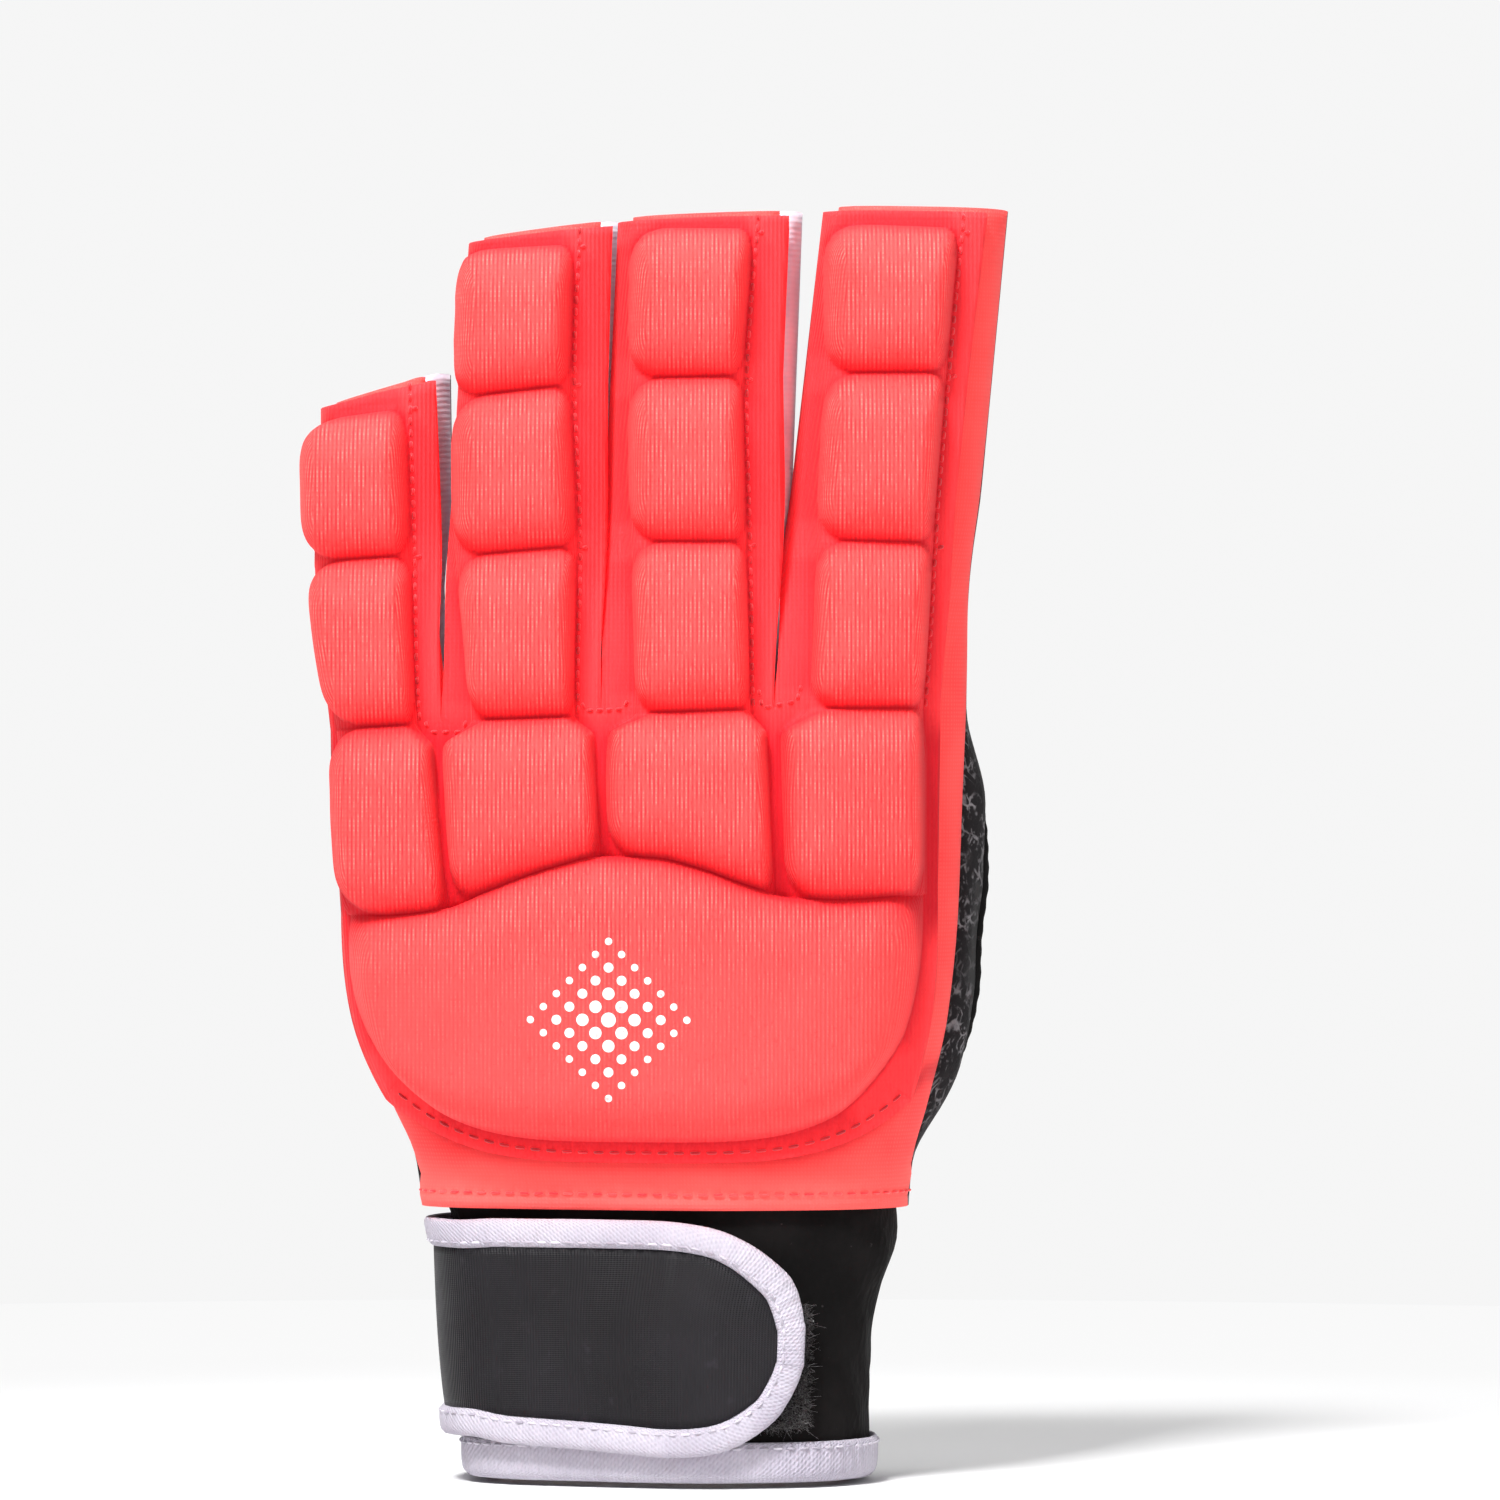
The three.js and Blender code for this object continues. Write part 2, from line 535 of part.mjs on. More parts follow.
function palmPoint(finger, phi, theta, z) {
  const curves = [(angle) => bodyPoint(angle, z), (angle) => fingerPoint(finger, angle, z)];
  const side = finger === 3 ? -theta : finger === 0 ? 180 + theta : 90;
  const share = own(z, 0.5 + 0.5 * ease(side / 60));
  const normal = blend(outward(curves[0], phi), outward(curves[1], theta), share).normalize();
  const point = blend(curves[0](phi), curves[1](theta), share);
  if (finger === 3) point.addScaledVector(normal, flare(phi, z));
  return { point, normal };
}

// The angle at which the palm side of a section reaches an x.
function palmAngleAt(curve, x) {
  let [low, high] = [-170, -10];
  for (let k = 0; k < 30; k += 1) {
    const middle = (low + high) / 2;
    if (curve(middle).x < x) low = middle;
    else high = middle;
  }
  return (low + high) / 2;
}

function palm() {
  const patches = [0, 1, 2, 3].map((finger) => {
    const shares = range(0, 1, [8, 5, 5, 11][finger]);
    const outerLeft = -180 - LITTLE_SEAM + SEAM_ANGLE;
    const surface = (z) => {
      const outerRight = thumbSeam(z) - SEAM_ANGLE;
      const body = (angle) => bodyPoint(angle, z);
      const phiLeft = finger === 0 ? outerLeft : palmAngleAt(body, slitX(finger, -1, z, PALM_SLIT));
      const phiRight = finger === 3 ? outerRight : palmAngleAt(body, slitX(finger, 1, z, PALM_SLIT));
      const thetaLeft = finger === 0 ? outerLeft : -180 + PALM_EDGE;
      const thetaRight = finger === 3 ? outerRight : -PALM_EDGE;
      return shares.map((s) => {
        const [phi, theta] = [mix(phiLeft, phiRight, s), mix(thetaLeft, thetaRight, s)];
        const { point, normal } = palmPoint(finger, phi, theta, z);
        return thick(point, normal, FABRIC);
      });
    };
    const nominal = surface(TIP_Z);
    const grid = PALM_ROWS.map(surface);
    for (const t of [0.08, 0.18, 0.3, 0.45, 0.7, 1]) {
      grid.push(nominal.map(({ outer }, c) => surface(mix(PALM_SLIT, tipHeight(finger, outer.x), t))[c]));
    }
    const slit = PALM_ROWS.length - 1;
    const free = { left: finger === 0 ? 0 : slit, right: finger === 3 ? 0 : slit };
    return { grid, innerColumns: alternate(grid[0].length - 1), free };
  });
  return sheet(patches);
}

// A stretch side wall between two fingers: down one finger's side, through the crotch and up the next one's.
function sideWall(finger) {
  const depths = [0, 0.1, 0.3, 0.5, 0.7, 0.9, 1];
  const shares = [0.03, 0.1, 0.2, 0.33, 0.5, 0.75, 1];
  const floor = (depth) => mix(BACK_SLIT + 2, PALM_SLIT + 2, depth);
  const wall = (f, side, depth, z) => {
    const x = flangeX(f, side, z);
    const [body, tube] = [(angle) => bodyPoint(angle, z), (angle) => fingerPoint(f, angle, z)];
    const phi = angleAt(body, x);
    const back = body(phi).addScaledVector(outward(body, phi), -LAP);
    const under = palmAngleAt(body, x);
    const front = body(under).addScaledVector(outward(body, under), -LAP);
    const straight = blend(back, front, depth);
    straight.x -= side * WALL_GAP;
    const angles = side > 0 ? [angleAt(tube, x), -PALM_EDGE] : [angleAt(tube, x), 180 + PALM_EDGE];
    const theta = mix(...angles, depth);
    const bulge = Math.min(1, Math.min(depth, 1 - depth) / 0.28);
    const normal = outward(tube, theta);
    const round = tube(theta).addScaledVector(normal, -LAP * (1 - ease(bulge)) - 0.1);
    const share = ease((z - floor(depth)) / (FINGER_FULL - floor(depth)));
    const faces = blend(vector(side, 0, 0), normal, share).normalize();
    return { point: blend(straight, round, share), normal: faces };
  };
  // The wall's edges keep their lap under the shell's and the palm's edges.
  const lapped = (f, side, depth, z) => {
    const { point, normal } = wall(f, side, depth, z);
    const shell = backSurface(f, flangeX(f, side, z), z);
    const phi = palmAngleAt((angle) => bodyPoint(angle, z), flangeX(f, side, z));
    const under = palmPoint(f, phi, side > 0 ? -PALM_EDGE : -180 + PALM_EDGE, z);
    for (const [edge, at] of [[shell, 0], [under, 1]]) {
      const target = edge.point.addScaledVector(edge.normal, -LAP);
      target.addScaledVector(vector(-side, 0, 0), WALL_GAP);
      const weight = Math.max(0, 1 - Math.abs(depth - at) / 0.4);
      point.addScaledVector(target.sub(wall(f, side, at, z).point), weight);
    }
    return { point, normal };
  };
  const row = (f, side, t) => depths.map((depth) => {
    const x = wall(f, side, depth, TIP_Z).point.x;
    const z = mix(floor(depth), tipHeight(f, x), t);
    const { point, normal } = lapped(f, side, depth, z);
    const down = 1 - ease(t / 0.08);
    return thick(point, blend(normal, vector(0, 0, 1), down).normalize(), SIDE_FABRIC);
  });
  const saddle = depths.map((depth) => {
    const z = floor(depth);
    const middle = blend(wall(finger, 1, depth, z).point, wall(finger + 1, -1, depth, z).point, 0.5);
    return thick(middle, vector(0, 0, 1), SIDE_FABRIC);
  });
  const grid = [
    ...shares.map((t) => row(finger, 1, t)).reverse(),
    saddle,
    ...shares.map((t) => row(finger + 1, -1, t)),
  ];
  return sheet([{ grid }]);
}

// A solid swept along a path of frames, each giving a closed outline of points.
function sweep(outlines, closed) {
  const corners = [];
  const n = outlines[0].length;
  const last = closed ? outlines.length : outlines.length - 1;
  for (let k = 0; k < last; k += 1) {
    const [p, q] = [outlines[k], outlines[(k + 1) % outlines.length]];
    for (let j = 0; j < n; j += 1) {
      const m = (j + 1) % n;
      corners.push(p[j], p[m], q[m], p[j], q[m], q[j]);
    }
  }
  if (!closed) {
    const cap = (ring, turned) => {
      for (let j = 1; j < n - 1; j += 1) {
        corners.push(ring[0], ring[turned ? j : j + 1], ring[turned ? j + 1 : j]);
      }
    };
    cap(outlines[0], false);
    cap(outlines.at(-1), true);
  }
  return solid(corners);
}

// The rim of the thumb hole: a point at a share of the hole's half extents, moved along the surface normal.
function holePoint(turn, share, offset) {
  const phi = -THUMB.angle + share * THUMB.halfAngle * Math.cos(turn);
  const z = THUMB.height + share * THUMB.halfHeight * Math.sin(turn);
  const { point, normal } = palmPoint(3, phi, phi, z);
  return point.addScaledVector(normal, offset);
}

function thumbCutter() {
  const turns = range(0, 2 * Math.PI, 48).slice(0, -1);
  const rings = [0.75, 0.5, 0.25];
  const loop = (share, offset) => turns.map((turn) => holePoint(turn, share, offset));
  const stack = [
    ...[...rings].reverse().map((share) => loop(share, -4)),
    loop(1, -4),
    loop(1, 3),
    ...rings.map((share) => loop(share, 3)),
  ];
  return sweep(stack, false);
}

function toManifold(geometry) {
  const position = geometry.getAttribute("position");
  return new wasm.Manifold(new wasm.Mesh({
    numProp: 3,
    vertProperties: new Float32Array(position.array),
    triVerts: new Uint32Array(geometry.index.array),
  }));
}

function cut(geometry, cutter) {
  const mesh = toManifold(geometry).subtract(toManifold(cutter)).getMesh();
  const result = new THREE.BufferGeometry();
  result.setAttribute("position", new THREE.BufferAttribute(new Float32Array(mesh.vertProperties), 3));
  result.setIndex([...mesh.triVerts]);
  return result;
}

// The bound edge of the thumb hole, a cord lying just inside the cut.
function thumbBinding() {
  const sides = range(0, 2 * Math.PI, 6).slice(0, -1);
  return sweep(range(0, 2 * Math.PI, 36).slice(0, -1).map((turn) => {
    const [here, next, out] = [holePoint(turn, 1, 0), holePoint(turn + 0.02, 1, 0), holePoint(turn, 1, 1)];
    const normal = out.clone().sub(here);
    const along = next.clone().sub(here).normalize();
    const inward = along.clone().cross(normal).normalize();
    const centre = here.addScaledVector(inward, THUMB_CORD + 0.3).addScaledVector(normal, -FABRIC / 2);
    return sides.map((a) => centre.clone()
      .addScaledVector(inward, THUMB_CORD * Math.cos(a)).addScaledVector(normal, THUMB_CORD * Math.sin(a)));
  }), true);
}

// A hoop round the wrist from a profile of offsets and heights.
function cuffPoint(angle, z, offset) {
  const curve = (a) => bodyPoint(a, z, CUFF_LINE);
  return curve(angle).addScaledVector(outward(curve, angle), offset);
}

const hoop = (profile) => sweep(
  range(0, 360, 36).slice(0, -1).map((angle) =>
    profile.map(([offset, z]) => cuffPoint(angle + 4.5, z, offset))),
  true,
);

function cuff() {
  const heights = [CUFF.top, 40, 25, CUFF.bottom];
  return hoop([...heights.map((z) => [0, z]), ...[...heights].reverse().map((z) => [-CUFF.thickness, z])]);
}

function cuffBinding() {
  const [near0, far] = [BINDING.clearance, BINDING.clearance + BINDING.leaf];
  const back = -CUFF.thickness;
  return hoop([
    [near0, BINDING.height], [near0, CUFF.bottom - 0.5], [back - near0, CUFF.bottom - 0.5],
    [back - near0, BINDING.height], [back - far, BINDING.height], [back - far, 1.2],
    [back / 2, 0], [far, 1.2], [far, BINDING.height],
  ]);
}

// The strap lies on the cuff by the run along it from the tip and the height.
const strapAngles = (() => {
  const start = angleAt((a) => bodyPoint(a, STRAP_TIP.z, CUFF_LINE), STRAP_TIP.x);
  const end = 360 + palmAngleAt((a) => bodyPoint(a, STRAP_TIP.z, CUFF_LINE), STRAP.palmEnd);
  const list = [{ run: 0, angle: start }];
  for (const angle of range(start, end, 240).slice(1)) {
    const [p, q] = [list.at(-1).angle, angle].map((a) => cuffPoint(a, STRAP_TIP.z, STRAP.stand));
    list.push({ run: list.at(-1).run + p.distanceTo(q), angle });
  }
  return list;
})();
const STRAP_RUN = strapAngles.at(-1).run;

function strapPoint(run, z, offset) {
  const high = Math.max(1, strapAngles.findIndex((step) => step.run >= run));
  const [a, b] = [strapAngles[high - 1], strapAngles[high]];
  const angle = mix(a.angle, b.angle, (run - a.run) / (b.run - a.run));
  return cuffPoint(angle, z, STRAP.stand + offset);
}

const strapRuns = [
  0.04, 0.25, 0.7, 1.4, 2.4, 3.8, 5.6, 8, 11, 15, 21, 28, 35, 42, 47, 52, 57, 62, 68, 76, 85, 93, 101,
];
function strapOutline() {
  const runs = [...strapRuns.filter((run) => run < STRAP_RUN - 3), STRAP_RUN];
  const edge = (name) => runs.map((run) => {
    const x = run > 50 ? -31 : strapPoint(run, STRAP_TIP.z, 0).x;
    return { run, z: STRAP_LINE(x)[name] };
  });
  return { top: edge("top"), low: edge("low") };
}

// The outline moved inwards along the strap's face.
function inset(distance) {
  const { top, low } = strapOutline();
  const path = [...[...top].reverse(), ...low];
  const moved = path.map((point, k) => {
    const [a, b] = [path[Math.max(0, k - 1)], path[Math.min(path.length - 1, k + 1)]];
    const [dx, dz] = [b.run - a.run, b.z - a.z];
    const length = Math.hypot(dx, dz);
    return { run: point.run - (dz / length) * distance, z: point.z + (dx / length) * distance };
  });
  return { path: moved, top: moved.slice(0, top.length).reverse(), low: moved.slice(top.length) };
}

function strap() {
  const { top, low } = inset(STRAP.edge + 0.3);
  const grid = range(0, 1, 4).map((t) => top.map((high, k) => {
    const [run, z] = [mix(low[k].run, high.run, t), mix(low[k].z, high.z, t)];
    return {
      outer: strapPoint(run, z, STRAP.thickness / 2),
      inner: strapPoint(run, z, -STRAP.thickness / 2),
    };
  }));
  return sheet([{ grid }]);
}

function strapBinding() {
  const { path } = inset(STRAP.edge / 2);
  const [w, t] = [STRAP.edge / 2, STRAP.edgeThickness / 2];
  const profile = [[w, 0], [w * 0.72, t], [-w * 0.72, t], [-w, 0], [-w * 0.72, -t], [w * 0.72, -t]];
  const { path: inner } = inset(STRAP.edge / 2 + 1);
  return sweep(path.map((point, k) => {
    const [dx, dz] = [inner[k].run - point.run, inner[k].z - point.z];
    return profile.map(([across, offset]) =>
      strapPoint(point.run + dx * across, point.z + dz * across, offset));
  }), false);
}

function loopPatch() {
  const grid = range(PATCH.low, PATCH.high, 3).map((z) => range(PATCH.left, PATCH.right, 10).map((x) => {
    const angle = angleAt((a) => bodyPoint(a, z, CUFF_LINE), x);
    return {
      outer: cuffPoint(angle, z, PATCH.clearance + PATCH.thickness),
      inner: cuffPoint(angle, z, PATCH.clearance),
    };
  }));
  return sheet([{ grid }]);
}

function part(name, geometry, color, roughness = 0.9) {
  const mesh = new THREE.Mesh(geometry, new THREE.MeshStandardMaterial({ color, roughness, metalness: 0 }));
  mesh.name = name;
  return mesh;
}

const glove = new THREE.Group();
glove.name = "field_hockey_glove";
glove.add(part("padded_back", paddedBack(), 0xff5f5a));
glove.add(part("back_shell", backShell(), 0xff4a46));
glove.add(part("palm", cut(palm(), thumbCutter()), 0x161414));
glove.add(part("side_wall_little_ring", sideWall(0), 0xe4e0eb));
glove.add(part("side_wall_ring_middle", sideWall(1), 0xe4e0eb));
glove.add(part("side_wall_middle_index", sideWall(2), 0xe4e0eb));
glove.add(part("thumb_binding", thumbBinding(), 0x100e0e));
glove.add(part("cuff", cuff(), 0x100e0e));
glove.add(part("cuff_binding", cuffBinding(), 0xe4e0eb));
glove.add(part("strap", strap(), 0x2a262e, 0.7));
glove.add(part("strap_binding", strapBinding(), 0xe4e0eb));
glove.add(part("loop_patch", loopPatch(), 0x1c1a1c));
export default glove;
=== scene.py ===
import math

import bpy
import numpy as np
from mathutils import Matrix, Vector


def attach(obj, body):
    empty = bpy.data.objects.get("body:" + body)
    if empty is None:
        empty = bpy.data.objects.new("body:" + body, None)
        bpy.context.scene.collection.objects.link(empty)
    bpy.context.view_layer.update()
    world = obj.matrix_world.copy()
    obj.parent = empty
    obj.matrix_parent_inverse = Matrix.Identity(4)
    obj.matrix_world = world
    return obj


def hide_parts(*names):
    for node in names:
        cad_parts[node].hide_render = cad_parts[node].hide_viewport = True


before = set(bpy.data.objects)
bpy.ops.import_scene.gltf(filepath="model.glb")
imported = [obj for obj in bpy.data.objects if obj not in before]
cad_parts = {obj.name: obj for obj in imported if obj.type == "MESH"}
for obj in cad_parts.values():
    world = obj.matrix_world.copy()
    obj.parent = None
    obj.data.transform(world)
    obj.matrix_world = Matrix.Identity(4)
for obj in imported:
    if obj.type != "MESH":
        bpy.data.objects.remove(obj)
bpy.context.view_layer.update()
RNG = np.random.default_rng(11)

# The glove's sizes in millimetres, the same as the CAD part's
FABRIC = 1.3
SIDE_FABRIC = 1.0
FLANGE = 1.6
PAD_LIFT = 0.7
BLOCK_HEIGHT, KNUCKLE_HEIGHT, BACK_HEIGHT = 8.6, 9.6, 8.8
LEFT_SHOULDER, RIGHT_SHOULDER, END_SHOULDER, BACK_SHOULDER = 7.0, 2.6, 9.0, 8.0
CORNER, CREASE, VALLEY, UPRIGHT, SWELL = 3.4, 0.3, 0.3, 0.8, 1.9
APEX, ULNAR_FALL = 0.3, 0.27
BODY_POWER = FINGER_POWER = 2.7
SIDE_LEAN = 26
SHOULDER, WRAP = 30, 5
SHELL_BOTTOM, BACK_SLIT, PALM_SLIT, FINGER_FULL = 41.2, 117, 131, 150
FINGER_BEND, PALM_EDGE = 5, 40
LAP, WALL_GAP = 1.9, 0.3
ROOT_Z, TIP_Z, TIP_MARGIN = 118, 190, 0.8
SEAM_ANGLE, THUMB_SEAM, INDEX_SEAM, LITTLE_SEAM = 0.5, 4, -5, 4
SEAM_TURN, SEAM_TURN_HEIGHT = 112, 50
THUMB_ANGLE, THUMB_HALF_ANGLE, THUMB_HEIGHT, THUMB_HALF_HEIGHT = 31, 30.5, 82, 28
THUMB_FLARE, THUMB_CORD = 3.6, 1.6

# A row for each section of the hand: z, left, right, height of the back, depth of the palm
BODY = np.array([
    [36, -35.8, 37.2, 22.6, 21.5],
    [48, -37.2, 38.2, 21.8, 21.5],
    [57, -41.0, 40.6, 20.8, 21.5],
    [70, -45.8, 43.6, 19.8, 21.5],
    [86, -47.4, 45.2, 19.0, 20.0],
    [102, -48.2, 45.8, 18.2, 16.5],
    [118, -49.0, 46.4, 17.2, 14.0],
    [150, -53.0, 46.8, 16.0, 12.5],
])
# The same for the cuff's outer face
CUFF_LINE = np.array([
    [0, -28.6, 31.2, 21.0, 19.6],
    [10, -29.0, 31.5, 20.8, 19.6],
    [24, -29.6, 32.2, 20.6, 19.6],
    [36, -30.8, 35.6, 20.5, 19.6],
    [41, -32.2, 35.8, 20.5, 19.7],
    [47, -35.3, 35.8, 20.1, 19.6],
])
# A row for each finger's tube: x and half width at its root and tip, half depth, y, lean
FINGERS = np.array([
    [-40.2, -41.0, 8.6, 8.0, 8.4, 1.2, 24],
    [-19.6, -16.6, 11.6, 9.8, 9.2, -3.2, 16],
    [5.6, 8.6, 13.1, 12.8, 9.8, -5.0, 12],
    [31.8, 39.6, 13.6, 12.8, 9.8, -5.2, 10],
])
# A row for each line across a finger: z at its left and right, x of flange, block, block and flange
STRIPS = [np.array(rows) for rows in (
    [
        [113.2, 114.5, -47.6, -46.4, -36.0, -32.6],
        [138.5, 140.0, -51.0, -50.2, -38.0, -33.7],
        [160.0, 162.5, -51.6, -51.0, -38.8, -35.0],
        [161.6, 166.2, -51.6, -51.0, -38.8, -35.3],
    ],
    [
        [114.5, 115.5, -32.6, -28.0, -12.3, -8.6],
        [139.2, 141.3, -31.0, -29.2, -13.1, -9.0],
        [163.1, 165.8, -30.4, -29.0, -13.9, -9.2],
        [185.8, 186.8, -30.2, -29.0, -13.3, -8.6],
        [186.8, 189.5, -30.2, -29.0, -13.3, -8.4],
    ],
    [
        [115.5, 116.5, -8.6, -3.6, 13.5, 16.9],
        [141.6, 141.6, -7.6, -3.2, 12.6, 17.2],
        [166.2, 166.5, -6.9, -3.2, 12.3, 17.1],
        [189.2, 188.8, -5.8, -2.8, 13.8, 18.0],
        [190.2, 190.9, -5.7, -2.8, 13.8, 18.0],
    ],
    [
        [116.5, 116.5, 16.9, 21.8, 38.6, 40.9],
        [142.1, 141.3, 19.5, 24.6, 40.6, 42.9],
        [167.0, 167.0, 22.1, 26.3, 42.8, 45.5],
        [190.0, 188.8, 23.9, 26.8, 44.8, 48.0],
        [191.9, 191.3, 24.0, 26.8, 44.8, 48.3],
    ],
)]
# A row for each knuckle block: x of its sides at the top and at the curved groove
KNUCKLES = np.array([
    [-46.0, -33.4, -44.4, -31.2],
    [-31.8, -9.4, -29.7, -8.4],
    [-7.6, 16.0, -7.0, 17.0],
    [17.8, 38.7, 18.6, 38.4],
])
GROOVE = np.array([
    [-48, 85.6], [-40, 85.3], [-30.4, 86.6], [-24, 89.3], [-15, 92.7], [-7.7, 94.4],
    [0, 94.1], [6, 92.6], [13, 90.0], [19.5, 88.2], [27, 87.8], [36, 88.4], [44, 89.0],
])
KNUCKLE_FLANGE = (-46.0, 40.4)
WEB = 0.14
# lowest height, rise at the ends, left, right, power
PAD_EDGE = (51.4, 9.4, -38.0, 32.6, 4)
FLANGE_EDGE = (48.4, 9.0, -39.4, 36.2, 4)
PAD_SIDE_POWER = 2.6

CUFF_TOP, CUFF_BOTTOM, CUFF_THICKNESS = 46.5, 3.4, 2.6
BINDING_HEIGHT, BINDING_LEAF, BINDING_CLEARANCE = 6.4, 1.2, 0.3
STRAP_THICKNESS, STRAP_STAND, STRAP_PALM_END, STRAP_EDGE, STRAP_EDGE_THICKNESS = 2.0, 3.3, 6.0, 4.1, 2.8
STRAP_LINE = np.array([
    [-31, 39.3, 6.8], [-24, 39.6, 6.1], [-9, 39.7, 5.2], [2, 39.4, 4.4], [8, 38.0, 4.9], [12, 35.8, 6.3],
    [16, 32.8, 8.8], [18, 31.0, 10.7], [19.4, 29.0, 13.0], [20.3, 27.2, 14.8], [20.9, 25.6, 16.4],
    [21.3, 24.0, 18.0], [21.5, 22.7, 19.3], [21.6, 21.5, 20.5],
])
STRAP_TIP = (20.3, 21.0)
PATCH = (0.0, 21.6, 8.4, 27.0)
PATCH_THICKNESS, PATCH_CLEARANCE = 1.1, 0.45


def mix(a, b, t):
    return a + (b - a) * t


def ease(t):
    s = np.clip(t, 0, 1)
    return s * s * (3 - 2 * s)


def power(value, exponent):
    return np.sign(value) * np.abs(value) ** exponent


def unit(v):
    return v / np.linalg.norm(v, axis=-1, keepdims=True)


def cubic(knots, values, at):
    """A cubic through the knots that never overshoots."""
    at = np.clip(at, knots[0], knots[-1])
    slopes = np.diff(values) / np.diff(knots)
    a, b = slopes[:-1], slopes[1:]
    inner = np.where(a * b <= 0, 0, 2 * a * b / np.where(a + b == 0, 1, a + b))
    tangents = np.concatenate([slopes[:1], inner, slopes[-1:]])
    i = np.clip(np.searchsorted(knots, at, side="left") - 1, 0, len(knots) - 2)
    step = knots[i + 1] - knots[i]
    t = (at - knots[i]) / step
    t2, t3 = t * t, t ** 3
    return ((2 * t3 - 3 * t2 + 1) * values[i] + (t3 - 2 * t2 + t) * step * tangents[i]
            + (3 * t2 - 2 * t3) * values[i + 1] + (t3 - t2) * step * tangents[i + 1])


def columns(table, at):
    return [cubic(table[:, 0], table[:, k], at) for k in range(1, table.shape[1])]


def run_along(points):
    """Running length along a path, or along each row of a grid."""
    steps = np.linalg.norm(np.diff(points, axis=-2), axis=-1)
    return np.insert(np.cumsum(steps, axis=-1), 0, 0, axis=-1)


# Sections of the hand and the cuff, and of the fingers
def body_point(angle, z, table=BODY):
    """A section's point at an angle from the thumb side: 90 is the back, -90 the palm."""
    angle, z = np.broadcast_arrays(np.asarray(angle, float), np.asarray(z, float))
    left, right, dorsal, palm = columns(table, z)
    c, q = np.cos(np.radians(angle)), np.sin(np.radians(angle))
    u = power(c, 2 / BODY_POWER)
    fall = 1 - ULNAR_FALL * ease((APEX - u) / 1.1)
    h = power(q, 2 / BODY_POWER)
    y = np.where(q > 0, -dorsal * h * fall, -palm * h)
    return np.stack([mix(left, right, (u + 1) / 2), y, z], -1)


def finger_point(finger, angle, z):
    angle, z = np.broadcast_arrays(np.asarray(angle, float), np.asarray(z, float))
    root_x, tip_x, root_half, tip_half, depth, centre_y, lean = FINGERS[finger]
    t = (z - ROOT_Z) / (TIP_Z - ROOT_Z)
    p = mix(root_half, tip_half, t) * power(np.cos(np.radians(angle)), 2 / FINGER_POWER)
    q = depth * power(np.sin(np.radians(angle)), 2 / FINGER_POWER)
    c, s = math.cos(math.radians(lean)), math.sin(math.radians(lean))
    bend = FINGER_BEND * np.maximum(0, (z - BACK_SLIT) / 78) ** 2
    return np.stack([mix(root_x, tip_x, t) + p * c - q * s, centre_y - p * s - q * c + bend, z], -1)


def body_at(z, table=BODY):
    return lambda angle: body_point(angle, z, table)


def tube_at(finger, z):
    return lambda angle: finger_point(finger, angle, z)


def outward(curve, angle):
    tangent = curve(angle + 1) - curve(angle - 1)
    return unit(np.stack([-tangent[..., 1], tangent[..., 0], np.zeros(tangent.shape[:-1])], -1))


def cuff_point(angle, z, offset, table=CUFF_LINE):
    curve = body_at(z, table)
    return curve(angle) + outward(curve, angle) * np.asarray(offset, float)[..., None]


def halve(curve, x, low, high, way):
    """The angle from low to high at which a curve reaches an x. Way is 1 where x falls with it, else -1."""
    low, high = np.full(x.shape, float(low)), np.full(x.shape, float(high))
    for _ in range(26):
        middle = (low + high) / 2
        before = way * curve(middle)[..., 0] > way * x
        low, high = np.where(before, middle, low), np.where(before, high, middle)
    return (low + high) / 2


def angle_at(curve, x):
    """The angle of an x on the back. Past the shoulders x runs round the side."""
    x = np.asarray(x, float)
    left, right = (curve(np.full(x.shape, float(a)))[..., 0] for a in (180 - SHOULDER, SHOULDER))
    angle = halve(curve, x, SHOULDER, 180 - SHOULDER, 1)
    angle = np.where(x < left, 180 - SHOULDER + WRAP * (left - x), angle)
    return np.where(x > right, SHOULDER - WRAP * (x - right), angle)


def palm_angle_at(curve, x):
    return halve(curve, np.asarray(x, float), -170, -10, -1)


def own(z, depth):
    """How far a height belongs to a finger's tube and not the hand. Depth is 0 at the back, 1 at the palm."""
    start = mix(BACK_SLIT, PALM_SLIT, depth)
    return ease((z - start) / (FINGER_FULL - start))


def blended(finger, phi, theta, z, share):
    """Point and normal between the hand's section and a finger's tube."""
    body, tube, share = body_at(z), tube_at(finger, z), share[..., None]
    return mix(body(phi), tube(theta), share), unit(mix(outward(body, phi), outward(tube, theta), share))


def back_surface(finger, x, z):
    """Point, normal and lean of the back at an x and a height."""
    phi, share = angle_at(body_at(z), x), own(z, 0)
    u = power(np.cos(np.radians(phi)), 2 / BODY_POWER)
    lean = mix(SIDE_LEAN * np.maximum(0, (0.75 - u) / 1.75) ** 1.5, FINGERS[finger][6], share)
    return *blended(finger, phi, angle_at(tube_at(finger, z), x), z, share), lean


# The padded back: rows of x, height and rise of the foam
def near(distance, shoulder):
    return np.maximum(0, 1 - distance / shoulder)


def rounded(a):
    return np.sqrt(np.maximum(0, 1 - a * a))


def along_block(distance, crease):
    return mix(crease, 1, rounded(near(distance, END_SHOULDER)))


def puff(a, distance, crease):
    """Share of a block's height, its corners rounded off, with the crease's share left at its ends."""
    corner = (a ** CORNER + near(distance, END_SHOULDER) ** CORNER) ** (1 / CORNER)
    return np.hypot(crease * rounded(a), rounded(crease) * rounded(corner))


SPACING, COARSE = ((0.62, 1.6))
BLOCK_LENGTH, KNUCKLE_LENGTH, PAD_LENGTH = 24, 26, 38
BACK_COLUMNS = 15
